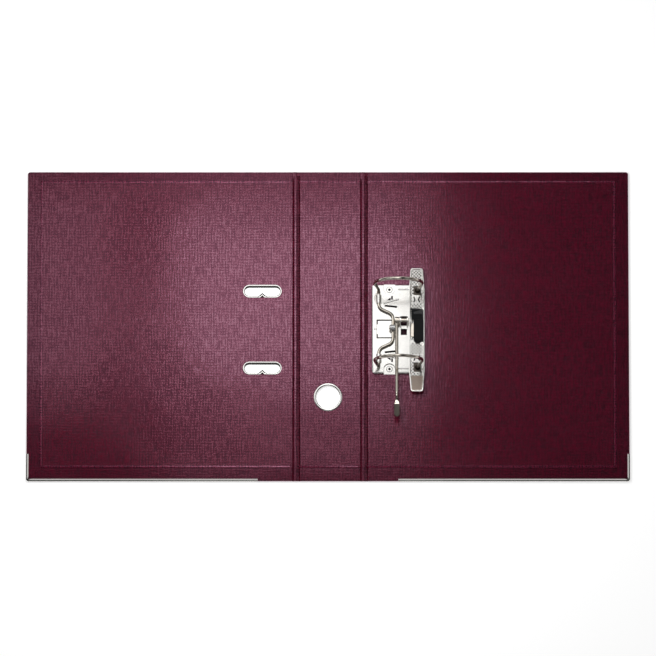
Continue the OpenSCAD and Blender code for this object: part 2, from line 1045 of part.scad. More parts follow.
module roller_cheek() {
    translate([0, -roller_reach * cos(dip), -roller_reach * sin(dip)])
        rotate([0, 90, 0])
            cylinder(h = cheek_t, r = 2.5);
    rotate([dip, 0, 0])
        translate([0, -roller_reach, -2.2])
            cube([cheek_t, roller_reach, 4.4]);
}

// Round arm along its own length, with the upward bend before the thumb end
module lever_rod() {
    turn = thumb_up + lever_slope;
    rotate([90, 0, 0])
        cylinder(h = lever_len, r = lever_r);
    translate([0, -lever_len, 0])
        knuckle(lever_r);
    translate([0, -lever_len, lever_bend])
        mirror([0, 1, 0])
            rotate([0, 90, 0])
                rotate_extrude(angle = turn)
                    translate([lever_bend, 0])
                        circle(lever_r);
    translate([0, -lever_len, lever_bend])
        rotate([-turn, 0, 0])
            translate([0, 0, -lever_bend]) {
                knuckle(lever_r);
                rotate([90, 0, 0])
                    thumb_end();
            }
}

// Thumb end along Z: pinched neck, then widened and pressed flat
module thumb_end() {
    w = thumb_w / 2;
    intersection() {
        union() {
            cylinder(h = thumb_neck, r1 = lever_r, r2 = neck_r);
            translate([0, 0, thumb_neck])
                cylinder(h = thumb_cone, r1 = neck_r, r2 = w);
            translate([0, 0, thumb_neck + thumb_cone])
                cylinder(h = thumb_len - thumb_neck - thumb_cone - w, r = w);
            translate([0, 0, thumb_len - w])
                sphere(w);
        }
        rotate([90, 0, 90])
            translate([0, 0, -10])
                linear_extrude(20)
                    polygon([
                        [-3, -0.1], [3, -0.1], [3, 1], [thumb_t / 2, thumb_cone], [thumb_t / 2, 60],
                        [-thumb_t / 2, 60], [-thumb_t / 2, thumb_cone], [-3, 1]
                    ]);
    }
}

module lever_axle() {
    color(nickel)
        at_mech()
            translate([lever_x - lever_r, axle_y, axle_z])
                rotate([0, 90, 0])
                    cylinder(h = axle_end - lever_x + lever_r, r = axle_r);
}

module roller_pin() {
    l = roller_l + 0.3;
    color(nickel)
        at_mech()
            translate([roller_end, 0, axle_z - roller_reach * sin(dip)])
                rotate([0, -90, 0]) {
                    translate([0, 0, -cheek_t - 0.2])
                        cylinder(h = cheek_t + 0.2 + l, r = roller_pin_r);
                    translate([0, 0, l - 0.1])
                        cylinder(h = 0.6, r = roller_pin_head);
                }
}

module roller() {
    color(spring_c)
        at_mech()
            translate([roller_end, 0, axle_z - roller_reach * sin(dip)])
                rotate([0, -90, 0])
                    difference() {
                        cylinder(h = roller_l, r = roller_r);
                        translate([0, 0, -1])
                            cylinder(h = roller_l + 2, r = roller_pin_r + run_fit);
                    }
}

// Outline of the bar seen from above, drawn in by g
module bar_plan(g) {
    w = bar_w / 2 - g;
    t = bar_tip / 2 - g;
    y0 = bar_l / 2 - bar_taper;
    y1 = bar_l / 2 - g;
    c = 2;
    for (s = [0, 1])
        mirror([0, s])
            polygon([
                [-w, 0], [w, 0], [w, y0], [t, y1 - c], [t - c * 0.3, y1 - c * 0.3], [t - c, y1],
                [-t + c, y1], [-t + c * 0.3, y1 - c * 0.3], [-t, y1 - c], [-w, y0]
            ]);
}

// Side view of the folded bar, from z0 to z1 above its underside
module bar_side(z0, z1) {
    reach = bar_end + 4;
    f = tan(bar_bend / 2);
    c = cos(bar_bend);
    s = sin(bar_bend);
    for (m = [0, 1])
        mirror([m, 0])
            polygon([
                [0, z0], [bar_mid - z0 * f, z0], [bar_mid + reach * c - z0 * s, reach * s + z0 * c],
                [bar_mid + reach * c - z1 * s, reach * s + z1 * c], [bar_mid - z1 * f, z1], [0, z1]
            ]);
}

module press_bar() {
    color(nickel)
        at_mech()
            difference() {
                union() {
                    bar_shell();
                    bar_lugs();
                }
                bar_cuts();
            }
}

// Folded tray of the bar: flat middle with two rims, and two bent-up ends
module bar_shell() {
    translate([bar_x, -bar_down, bar_z])
        difference() {
            bar_fold(0, bar_rim, 0);
            bar_fold(bar_t, bar_rim + 4, bar_wall);
        }
}

// Solid with the folded side view from z0 to z1 and the outline drawn in by g
module bar_fold(z0, z1, g) {
    intersection() {
        translate([-bar_w, 0, 0])
            rotate([90, 0, 90])
                linear_extrude(2 * bar_w)
                    bar_side(z0, z1);
        translate([0, 0, -1])
            linear_extrude(bar_rim + bar_end)
                bar_plan(g);
    }
}

// Knuckles for the flap pin
module bar_lugs() {
    for (y = [barrel_y0 - 0.25 - lug_t, barrel_y0 + barrel_l + 0.25])
        translate([flap_x, y, flap_z]) {
            rotate([-90, 0, 0])
                cylinder(h = lug_t, r = barrel_r);
            translate([-barrel_r, 0, bar_z - flap_z + bar_t / 2])
                cube([2 * barrel_r, lug_t, flap_z - bar_z - bar_t / 2]);
        }
}

module bar_cuts() {
    for (s = [-1, 1]) {
        translate([window_x - window_w / 2, s * arch_y - window_l / 2, bar_z - 1])
            cube([window_w, window_l, bar_t + 2]);
        for (m = [0, 1])
            translate([bar_x, s * (arch_y - window_l / 2 - 4.6), bar_z - 1])
                mirror([m, 0, 0])
                    crescent();
    }
    translate([flap_x - barrel_r - 0.1, barrel_y0 - 0.25, bar_z - 1])
        cube([2 * barrel_r + 0.2, barrel_l + 0.5, bar_t + 2]);
    translate([flap_x, barrel_y0 - 5, flap_z])
        rotate([-90, 0, 0])
            cylinder(h = barrel_l + 10, r = flap_pin_r + seat_fit);
}

// Curved slot beside a window
module crescent() {
    linear_extrude(bar_t + 2)
        translate([4.6, 0])
            intersection() {
                difference() {
                    circle(3.2);
                    circle(2.3);
                }
                translate([-3.4, -2.1])
                    square([2.6, 4.2]);
            }
}

module flap_pin() {
    color(nickel)
        at_mech()
            translate([flap_x, barrel_y0 - 0.25 - lug_t, flap_z])
                rotate([-90, 0, 0])
                    cylinder(h = barrel_l + 0.5 + 2 * lug_t, r = flap_pin_r);
}

// Black flap: barrel on the pin, plate over the bar, edge turned down into it, tongue and nose
module press_flap() {
    z0 = flap_z + 0.2;
    color(black)
        at_mech()
            difference() {
                union() {
                    translate([flap_x, barrel_y0, flap_z])
                        rotate([-90, 0, 0])
                            cylinder(h = barrel_l, r = barrel_r);
                    translate([flap_x, barrel_y0, z0])
                        cube([flap_in - flap_x + 1, barrel_l, barrel_r - 0.2]);
                    translate([flap_in, flap_y0, z0])
                        cube([flap_out - flap_in, flap_l, flap_t]);
                    translate([flap_out - 0.9, flap_y0 + 1, z0 - 1.2])
                        cube([0.9, flap_l - 2, 1.2 + flap_t]);
                    translate([flap_x - 0.3, flap_y0 + flap_l - 1, z0])
                        cube([flap_out - flap_x - 0.1, tongue_l + 1, flap_t - 0.5]);
                    translate([flap_in, flap_y0 + flap_l + tongue_l * 0.5, z0])
                        cube([flap_out - flap_in - 1.4, tongue_l * 0.2, flap_t + 0.3]);
                    translate([flap_in + 4.3, flap_y0 + 1, z0])
                        cylinder(h = flap_t - 0.5, r = 3.4);
                }
                translate([flap_x, barrel_y0 - 5, flap_z])
                    rotate([-90, 0, 0])
                        cylinder(h = barrel_l + 10, r = flap_pin_r + run_fit);
            }
}

back_board();
back_wrap();
back_lining();
back_edge_rail();
spine_board();
spine_wrap();
spine_lining();
finger_ring();
finger_ring_washer();
front_board();
front_wrap();
front_lining();
front_edge_rail();
upper_slot_eyelet();
lower_slot_eyelet();
upper_slot_washer();
lower_slot_washer();
back_hinge_strip();
front_hinge_strip();
base_plate();
plate_rivets();
upper_post();
lower_post();
leaf_spring();
spring_rivet();
arch_wire();
lever_arm();
lever_axle();
roller_pin();
roller();
press_bar();
flap_pin();
press_flap();
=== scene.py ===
"""Open lever arch file: vinyl, metal and plastic finishes, soft hinges and pressed detail round its solids."""

import json
import math

import bmesh
import bpy
from bpy.props import FloatProperty, FloatVectorProperty, PointerProperty
from bpy.types import Operator, Panel, PropertyGroup
from mathutils import Matrix, Vector


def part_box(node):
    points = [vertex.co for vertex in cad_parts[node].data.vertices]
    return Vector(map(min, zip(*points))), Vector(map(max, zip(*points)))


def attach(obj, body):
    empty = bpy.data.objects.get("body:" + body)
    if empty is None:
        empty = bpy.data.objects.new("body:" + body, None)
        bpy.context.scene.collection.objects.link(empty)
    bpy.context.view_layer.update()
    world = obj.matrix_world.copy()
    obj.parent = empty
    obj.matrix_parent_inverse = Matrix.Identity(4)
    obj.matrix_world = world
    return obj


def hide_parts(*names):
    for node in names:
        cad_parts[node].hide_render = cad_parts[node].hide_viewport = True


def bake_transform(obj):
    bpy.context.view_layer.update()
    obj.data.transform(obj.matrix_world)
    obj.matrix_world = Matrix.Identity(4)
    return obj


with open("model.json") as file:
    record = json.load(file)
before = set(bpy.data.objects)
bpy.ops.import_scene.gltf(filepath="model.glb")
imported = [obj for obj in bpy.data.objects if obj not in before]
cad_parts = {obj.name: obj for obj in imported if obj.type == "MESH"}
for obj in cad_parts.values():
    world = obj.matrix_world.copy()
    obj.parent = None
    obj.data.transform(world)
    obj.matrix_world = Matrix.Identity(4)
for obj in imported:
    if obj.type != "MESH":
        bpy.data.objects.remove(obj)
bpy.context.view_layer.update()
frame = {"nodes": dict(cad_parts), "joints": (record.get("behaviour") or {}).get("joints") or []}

bl_info = {
    "name": "Lever arch file",
    "version": (1, 0, 0),
    "blender": (4, 5, 0),
    "location": "View3D > Sidebar > Lever file",
    "description": "Dresses the solids of an open lever arch file in vinyl, plated steel and plastic",
    "category": "Object",
}

MM = 0.001
NODES = frame["nodes"]
JOINTS = {joint["name"]: joint for joint in frame["joints"]}
JOURNAL_X, MECH_Y = JOINTS["arch_pivot"]["pos_m"][:2]
HINGE_X = JOINTS["back_hinge"]["pos_m"][0]
POST_Y = 40 * MM  # from the middle of the mechanism to a post
STRIP_HALF = 3 * MM  # half the width of a solid hinge strip
EXACT, CLOSE = 1e-6, 1e-5  # differences in metres that count as none
BODY_OF = {"back": "back_cover", "spine": "spine", "front": "front_cover"}
ALONG_X, ALONG_Y = (1, 0, 0), (0, 1, 0)


def linear(code):
    """Scene-linear red, green and blue of an sRGB hex code."""
    parts = [int(code[i : i + 2], 16) / 255 for i in (1, 3, 5)]
    return tuple(c / 12.92 if c <= 0.04045 else ((c + 0.055) / 1.055) ** 2.4 for c in parts)


def shade(name, description, code):
    """A colour that a user may change, given as an sRGB hex code."""
    return FloatVectorProperty(
        name=name, description=description, subtype="COLOR", size=3, min=0, max=1, default=linear(code)
    )


def length(name, description, millimetres, least=0.0):
    """A length that a user may change, given in millimetres."""
    return FloatProperty(
        name=name, description=description, subtype="DISTANCE", unit="LENGTH", min=least, default=millimetres * MM
    )


def number(name, description, default, **options):
    """A share, strength or angle that a user may change."""
    return FloatProperty(name=name, description=description, default=default, **options)


class LeverFileFinish(PropertyGroup):
    """Colours and surface scales of the materials."""

    vinyl: shade("Vinyl", "Burgundy of the lining sheets and the joints", "#4a071b")
    turn_in: shade("Turn-in", "Darker vinyl that is turned in round the boards", "#440619")
    crease: shade("Crease", "Vinyl on the shaded side of a joint", "#3a0011")
    # Paler vinyl on the pressed beads: a painted highlight
    vinyl_worn: shade("Vinyl edge", "Paler vinyl on pressed beads", "#520f26")
    # Painted shade: the lining under the base plate, seen through its openings, is darkened
    soiled: shade("Soiled vinyl", "Lining darkened by grease under the base plate", "#15080b")
    board: shade("Greyboard", "Grey of the pressed board", "#8b857a")
    nickel: shade("Nickel", "Bright nickel plating", "#ebe9e5")
    wire: shade("Wire", "Nickel plating on the drawn wire", "#d6cec2")
    spring: shade("Spring steel", "Plain spring steel", "#c9c9cc")
    # Painted shade: dark steel inside collars, bores and dents, on bar window walls, post feet and curved cuts
    bare: shade("Bare steel", "Dull steel inside collars, bores and dents", "#2a2623")
    # Painted shade on the plate under the press bar, seen through its windows; also the darker, duller lever thumb
    # end
    rubbed: shade("Rubbed steel", "Plating rubbed dull under the press bar and on the lever's end", "#6b645d")
    # Darker, warmer plating on the lower bent-up end of the press bar
    handled: shade("Handled nickel", "Plating dulled by fingers at the lower end of the press bar", "#b0a196")
    plastic: shade("Plastic", "Black of the moulded flap", "#0b0b0c")
    thread: length("Thread spacing", "Spacing of the embossed linen threads", 1.3)
    slub: length("Slub length", "Length of the thick places in a thread", 13)
    rib: length("Rib spacing", "Spacing of the bundled threads", 2.9)
    emboss: length("Emboss depth", "Depth of the embossed linen", 0.08)
    wave: length("Board wave", "Spacing of the slight waves in the covers", 95)
    wave_height: length("Wave height", "Height of the slight waves in the covers", 1.1)


class LeverFileForm(PropertyGroup):
    """Sizes of the modelled detail."""

    cover_edge: length("Cover edge", "Rounding of the free cover edges", 0.8)
    sheet_edge: length("Sheet edge", "Rounding of stamped sheet edges", 0.28)
    plate_rim: length("Plate rim", "Rounding of the free sides of the base plate", 1.2)
    rail_edge: length("Rail edge", "Rounding along the edge rails", 0.45)
    rail_slope: length("Rail slope", "Fall of the rail lips towards the outer edge", 0.8)
    eyelet_edge: length("Eyelet edge", "Rounding of the outer edge of the slot eyelets", 0.42)
    eyelet_roll: length("Eyelet roll", "Rounding of the slot eyelets into their collars", 1.0)
    eyelet_taper: length("Eyelet taper", "Inward slope of the upper collar walls", 1.1)
    washer_edge: length("Washer edge", "Rounding of the outer edge of the washers", 0.2)
    nose_up: length("Nose reach", "Reach of a locking nose from the lower flange into its slot", 4.6)
    nose_half: length("Nose half width", "Half the width of a locking nose", 5.2)
    ring_flat: number("Ring flattening", "Height of the finger ring flange as a share of a half round", 0.45)
    foot_edge: length("Foot edge", "Rounding of the riveted post feet", 0.8)
    rim_edge: length("Rim edge", "Rounding of the press bar rims", 0.22)
    rim_fillet: length("Rim fillet", "Hollow between press bar floor and rims", 0.9)
    flap_edge: length("Flap edge", "Rounding of the plastic flap", 0.35)
    bead_width: length("Bead width", "Width of the pressed bead along the lining", 2.0)
    bead_height: length("Bead height", "Height of the pressed bead along the lining", 0.32)
    joint_left: length("Joint left", "Width of a vinyl joint to the left of its hinge line", 1.8)
    joint_right: length("Joint right", "Width of a vinyl joint to the right of its hinge line", 6.2)
    crease_z: length("Crease height", "Height of the crease bottoms over the table", 0.9)
    ridge_z: length("Ridge height", "Height of the ridge between two creases", 2.25)
    ridge_from: number("Ridge start", "Left side of the flat ridge, as a share of half the joint", -0.45)
    ridge_to: number("Ridge end", "Right side of the flat ridge, as a share of half the joint", -0.02)
    knurl_side: length("Knurl side", "Side of a knurled pyramid, drawn coarse so that it shows", 1.6)
    knurl_steep: number("Knurl slope", "Height of a pyramid as a share of its half width", 0.5)
    tip_half: length("Tip half width", "Half the width of the bar at its tips", 6.3)
    bar_taper: length("Bar taper", "Length over which the bar narrows to a tip", 22)
    window_off: length("Window offset", "Offset of the post windows from the middle of the bar", 0.7)
    bar_end: length("Bar end", "Length of each bent-up end of the press bar", 17)
    bar_bend: number("Bar bend", "Upward bend of the bar ends", math.radians(7), subtype="ANGLE")
    # Length of the lever's darker, duller thumb end
    dull_thumb_end: length("Thumb pad", "Length of the lever end that fingers have rubbed dull", 15)


class LeverFileStage(PropertyGroup):
    """Camera and light."""

    elevation: number("Elevation", "Camera angle above the table", math.radians(78), subtype="ANGLE")
    lens: number("Lens", "Focal length", 600, unit="CAMERA")
    view_width: length("View width", "Width of the view across the file", 668)
    aim_x: length("Aim across", "Sideways place that the camera looks at", 0.0, least=-1.0)
    aim_y: length("Aim along", "Lengthways place that the camera looks at", -1.3, least=-1.0)
    ring: number("Ring", "Light that shiny surfaces mirror from a ring of pale walls", 0.07)
    ambient: number("Ambient", "Light from all sides", 0.45)


def join(tree, made, inputs):
    """Sets the values and makes the links of a node's inputs."""
    for key, value in inputs.items():
        if isinstance(value, bpy.types.NodeSocket):
            tree.links.new(value, made.inputs[key])
        else:
            made.inputs[key].default_value = value


def node(tree, kind, inputs=None, **options):
    """Adds a node with its settings, its values and its links."""
    made = tree.nodes.new(kind)
    for key, value in options.items():
        setattr(made, key, value)
    join(tree, made, inputs or {})
    return made


def toned(colour, tone=1.0):
    """A colour with an alpha of 1, made darker or paler."""
    return tuple(min(1, c * tone) for c in colour) + (1,)


def cleared(owner):
    """The node tree of a new material or world, without its nodes."""
    owner.use_nodes = True
    owner.node_tree.nodes.clear()
    return owner.node_tree


def blank_material(name):
    """A new material with only its Principled shader and output."""
    material = bpy.data.materials.new(name)
    tree = cleared(material)
    shader = node(tree, "ShaderNodeBsdfPrincipled")
    node(tree, "ShaderNodeOutputMaterial", {"Surface": shader.outputs["BSDF"]})
    return material, tree, shader


# Shares of weft, threads and ribs in the height of the linen, on top of warp and speckle
WEFT, THREADS, RIBS = 0.5, 0.75, 0.13
# That height at the bottom of the valleys, at the palest colour and on the crests
VALLEY, PALE, CREST = 1.05, 1.33, 1.53
VALLEY_SHEEN, CREST_SHEEN = linear("#c0849e"), linear("#e6bdd4")  # tint of what they mirror
WAVE_BAND = 0.314  # width of one band of Blender's Wave texture at a scale of 1


def linen_vinyl(name, finish, colour, shine=1.0, follows_sheet=False):
    """PVC film on paper, calendered between linen-engraved rollers.

    The eye sees a semi-gloss wine red, broken by upright and cross threads with thick slubs and by bundles
    of threads, on boards that are never quite flat. Crests are smoother than valleys, which are painted
    darker and mirror a darker tint: painted shade in the hollows of the emboss.
    Real threads lie 0.5 mm apart; they are drawn coarser so that they show.
    """
    if name in bpy.data.materials:
        return bpy.data.materials[name]
    material, tree, shader = blank_material(name)
    if follows_sheet:
        place = node(tree, "ShaderNodeUVMap", uv_map="sheet").outputs["UV"]
    else:
        place = node(tree, "ShaderNodeTexCoord").outputs["Object"]
    fine, long = 1 / finish.thread, 1 / finish.slub
    patterns = []
    for scale, space in (((fine, long, 1), "2D"), ((long, fine, 1), "2D"), ((fine, 0.8 * fine, fine), "3D")):
        spread = node(tree, "ShaderNodeMapping", {"Vector": place, "Scale": scale})
        noise = {"Vector": spread.outputs[0], "Scale": 1, "Detail": 1}
        patterns.append(node(tree, "ShaderNodeTexNoise", noise, noise_dimensions=space).outputs["Fac"])
    warp, relief, speckle = patterns
    for weight, other in ((WEFT, warp), (THREADS, speckle)):
        relief = node(tree, "ShaderNodeMath", {0: relief, 1: weight, 2: other}, operation="MULTIPLY_ADD").outputs[0]
    for direction in ("X", "Y"):
        bands = {"Vector": place, "Scale": WAVE_BAND / finish.rib, "Distortion": 3, "Detail": 1, "Detail Scale": 0.5}
        rib = node(tree, "ShaderNodeTexWave", bands, bands_direction=direction).outputs["Fac"]
        relief = node(tree, "ShaderNodeMath", {0: rib, 1: RIBS, 2: relief}, operation="MULTIPLY_ADD").outputs[0]
    noise = {"Vector": place, "Scale": 1 / finish.wave, "Detail": 1}
    wave = node(tree, "ShaderNodeTexNoise", noise, noise_dimensions="2D").outputs["Fac"]
    board = node(tree, "ShaderNodeBump", {"Distance": finish.wave_height, "Height": wave}).outputs[0]
    emboss = node(tree, "ShaderNodeBump", {"Distance": finish.emboss, "Height": relief, "Normal": board})
    # Valleys painted darker and crests paler: painted shade in the hollows of the emboss
    tint = node(tree, "ShaderNodeMapRange", {"Value": relief, "From Min": VALLEY, "From Max": PALE})
    tones = {"Factor": tint.outputs[0], 6: toned(colour, 0.45), 7: toned(colour, 1.55)}
    mix = node(tree, "ShaderNodeMix", tones, data_type="RGBA")
    rise = {"Value": relief, "From Min": VALLEY, "From Max": CREST}
    gloss = node(tree, "ShaderNodeMapRange", {**rise, "To Min": 0.27, "To Max": 0.14})
    crest = node(tree, "ShaderNodeMapRange", rise, interpolation_type="SMOOTHSTEP")
    # Valleys mirror a darker tint than crests: painted shade
    tones = {"Factor": crest.outputs[0], 6: toned(VALLEY_SHEEN, shine), 7: toned(CREST_SHEEN, shine)}
    sheen = node(tree, "ShaderNodeMix", tones, data_type="RGBA")
    # A high index and full specular level stand for the film's hard, polished top coat
    join(tree, shader, {"Base Color": mix.outputs[2], "Roughness": gloss.outputs[0], "Normal": emboss.outputs[0]})
    join(tree, shader, {"Specular Tint": sheen.outputs[2], "IOR": 1.95, "Specular IOR Level": 1.0})
    return material


# Colour, roughness and grain in millimetres of each steel
STEELS = {
    "nickel_plated_sheet": ("nickel", 0.17, 0.9),
    "nickel_plated_wire": ("wire", 0.09, 1.6),
    "spring_steel": ("spring", 0.24, 0.5),
    # The last three steels are darker: painted shade in hollows and under the press bar, a duller lever end, a
    # darker bar end
    "bare_steel": ("bare", 0.5, 0.4),
    "rubbed_steel": ("rubbed", 0.42, 0.4),
    "handled_nickel": ("handled", 0.3, 0.4),
}


def grained(name, tones, fine, depth, clouds, constants, gloss=None):
    """A material with a bumpy grain, and clouds that shift its colour and gloss.

    Both noises are given as spacing in millimetres, detail and roughness, the gloss as two levels of the
    clouds and the roughness there. Where the gloss is even, the constants give its roughness.
    """
    if name in bpy.data.materials:
        return bpy.data.materials[name]
    material, tree, shader = blank_material(name)
    place = node(tree, "ShaderNodeTexCoord").outputs["Object"]
    levels = []
    for spacing, detail, rough in (fine, clouds):
        noise = {"Vector": place, "Scale": 1 / (spacing * MM), "Detail": detail, "Roughness": rough}
        levels.append(node(tree, "ShaderNodeTexNoise", noise).outputs["Fac"])
    grain, cloud = levels
    mix = node(tree, "ShaderNodeMix", {"Factor": cloud, 6: tones[0], 7: tones[1]}, data_type="RGBA")
    bump = node(tree, "ShaderNodeBump", {"Distance": depth * MM, "Height": grain})
    join(tree, shader, {"Base Color": mix.outputs[2], "Normal": bump.outputs[0], **constants})
    if gloss:
        limits = dict(zip(("From Min", "From Max", "To Min", "To Max"), gloss))
        dulled = node(tree, "ShaderNodeMapRange", {"Value": cloud, **limits})
        join(tree, shader, {"Roughness": dulled.outputs[0]})
    return material


def plated_steel(name, finish):
    """Steel that was stamped or drawn and then plated with bright nickel, or a darker, duller steel, mostly as
    painted shade.

    The eye sees sharp, slightly warm reflections, a faint orange peel and dull handling marks.
    """
    colour, rough, grain = STEELS[name]
    colour = getattr(finish, colour)
    tones, gloss = (toned(colour), toned(colour, 0.95)), (0.3, 0.75, rough, rough + 0.04)
    return grained(name, tones, (grain, 3, 0.5), 0.006, (9, 4, 0.7), {"Metallic": 1}, gloss)


def steels(finish, *names):
    """Several plated or worn steels."""
    return [plated_steel(name, finish) for name in names]


def moulded_plastic(name, colour, shine=0.18):
    """Black ABS from a spark-eroded mould: near black, with a fine satin grain that breaks the highlight."""
    tones, gloss = (toned(colour), toned(colour, 1.5)), (0.3, 0.7, 0.38, 0.55)
    constants = {"IOR": 1.5, "Specular IOR Level": shine}
    return grained(name, tones, (0.35, 2, 0.5), 0.02, (6, 2, 0.5), constants, gloss)


def pressed_board(name, colour):
    """Greyboard from waste paper: evenly dull, with pale and dark fibre specks."""
    fibre = (1.4, 6, 0.8)
    return grained(name, (toned(colour, 0.7), toned(colour)), fibre, 0.05, fibre, {"Roughness": 0.9})


def cad_copy(name):
    """A merged copy of a solid's mesh, with its flat faces whole again."""
    bm = bmesh.new()
    bm.from_mesh(NODES[name].data)
    bmesh.ops.remove_doubles(bm, verts=bm.verts, dist=2 * EXACT)
    bmesh.ops.dissolve_limit(
        bm, angle_limit=math.radians(0.3), use_dissolve_boundaries=False, verts=bm.verts, edges=bm.edges
    )
    return bm


def beside_joints(bm, form):
    """Draws the panels back from the solid's hinge strips to the full width of the vinyl joints."""
    panel_edge = STRIP_HALF + 1.2 * MM  # panels end within this distance of a hinge line
    for v in bm.verts:
        for line in (-HINGE_X, HINGE_X):
            away = v.co.x - line
            if 0 < away < panel_edge:
                v.co.x += form.joint_right - STRIP_HALF
            elif -panel_edge < away < 0:
                v.co.x -= form.joint_left - STRIP_HALF
    return bm


def middle_of(edge):
    """The point half way along an edge."""
    return (edge.verts[0].co + edge.verts[1].co) / 2


def level_at(edge, height):
    """Do both ends of an edge lie at a height?"""
    return all(abs(v.co.z - height) < CLOSE for v in edge.verts)


def cut(bm, place, across, beyond=False, near=EXACT):
    """Cuts a mesh along a plane, and takes away what lies beyond it where that is asked for."""
    geom = bm.verts[:] + bm.edges[:] + bm.faces[:]
    bmesh.ops.bisect_plane(bm, geom=geom, dist=near, plane_co=place, plane_no=across, clear_outer=beyond)


def flat_sheet(left, right, low, high, z=0.0, cells=(1, 1)):
    """A flat grid between two sides and two ends."""
    bm = bmesh.new()
    bmesh.ops.create_grid(bm, x_segments=cells[0], y_segments=cells[1], size=0.5)
    bmesh.ops.scale(bm, verts=bm.verts, vec=(right - left, high - low, 1))
    bmesh.ops.translate(bm, verts=bm.verts, vec=((left + right) / 2, (low + high) / 2, z))
    return bm


def raised(bm, height):
    """Gives all faces of a flat mesh a thickness, upwards or downwards, and returns the new vertices."""
    made = bmesh.ops.extrude_face_region(bm, geom=bm.faces[:])
    verts = [v for v in made["geom"] if isinstance(v, bmesh.types.BMVert)]
    bmesh.ops.translate(bm, verts=verts, vec=(0, 0, height))
    bmesh.ops.recalc_face_normals(bm, faces=bm.faces)
    return verts


def round_edges(bm, radius, segments, wanted, sharper=30, shortest=0.0):
    """Bevels the edges that are sharper than an angle, long enough and wanted."""
    edges = [
        e
        for e in bm.edges
        if len(e.link_faces) == 2
        and e.calc_face_angle() > math.radians(sharper)
        and e.calc_length() > shortest
        and wanted(e)
    ]
    bmesh.ops.bevel(bm, geom=edges, offset=radius, segments=segments, profile=0.5, affect="EDGES", material=-1)


def shown(
    bm, name, material, body=None, stands_for=(), slot="nickel_steel", sharp=35, flat=False, inside=None, inner=()
):
    """Makes a mesh a piece of the object, on a body and in place of solids.

    flat keeps large flat faces flat in shading beside their rounded edges. inside gives a face its place
    among the inner finishes, counted from 1, or 0 for the main finish.
    """
    if inside:
        for face in bm.faces:
            face.material_index = int(inside(face))
    mesh = bpy.data.meshes.new(name)
    for finish in (material, *inner):
        mesh.materials.append(finish)
    bm.to_mesh(mesh)
    bm.free()
    stale = mesh.attributes.get("custom_normal")
    if stale:
        mesh.attributes.remove(stale)
    mesh.shade_smooth()
    mesh.set_sharp_from_angle(angle=math.radians(sharp))
    piece = bpy.data.objects.new(name, mesh)
    bpy.context.scene.collection.objects.link(piece)
    if body:
        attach(piece, body)
    if stands_for:
        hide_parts(*stands_for)
    if flat:
        piece.modifiers.new("Flat faces", "WEIGHTED_NORMAL").keep_sharp = True
    return piece


def paint(name, material):
    """Gives a solid that stays its finish."""
    mesh = NODES[name].data
    mesh.materials.clear()
    mesh.materials.append(material)


def chosen(context):
    """The finishes and sizes that a user may have changed."""
    return context.scene.lever_file_finish, context.scene.lever_file_form


class LEVERFILE_OT_covers(Operator):
    """Vinyl over the boards of covers and spine, with soft free edges"""

    bl_idname = "lever_file.covers"
    bl_label = "Covers and spine"

    def execute(self, context):
        finish, form = chosen(context)
        vinyl = linen_vinyl("embossed_vinyl", finish, finish.turn_in, shine=0.85)
        board = pressed_board("greyboard", finish.board)
        for side, body in BODY_OF.items():
            bm = beside_joints(cad_copy(side + "_board"), form)
            shown(bm, side + "_board_drawn_back", board, body, [side + "_board"], "greyboard")
            bm = cad_copy(side + "_wrap")
            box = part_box(side + "_wrap")
            round_edges(bm, form.cover_edge, 4, lambda e: self.free(e, side, *box))
            beside_joints(bm, form)
            shown(bm, side + "_vinyl", vinyl, body, [side + "_wrap"], "vinyl", flat=True)
        return {"FINISHED"}

    @staticmethod
    def free(edge, side, lo, hi):
        """Does this edge run along an outer side of a panel, on its upper or lower face?"""
        start, end = (v.co for v in edge.verts)
        p = middle_of(edge)
        by_rim = 3 * MM
        if abs(start.z - end.z) > 2 * EXACT or min(abs(p.z - lo.z), abs(p.z - hi.z)) > CLOSE:
            return False
        at_end = min(p.y - lo.y, hi.y - p.y) < by_rim
        if side == "spine":
            return at_end and abs(start.y - end.y) < EXACT
        hinge_x, outer_x = (lo.x, hi.x) if side == "back" else (hi.x, lo.x)
        return (at_end or abs(outer_x - p.x) < by_rim) and abs(hinge_x - p.x) > CLOSE


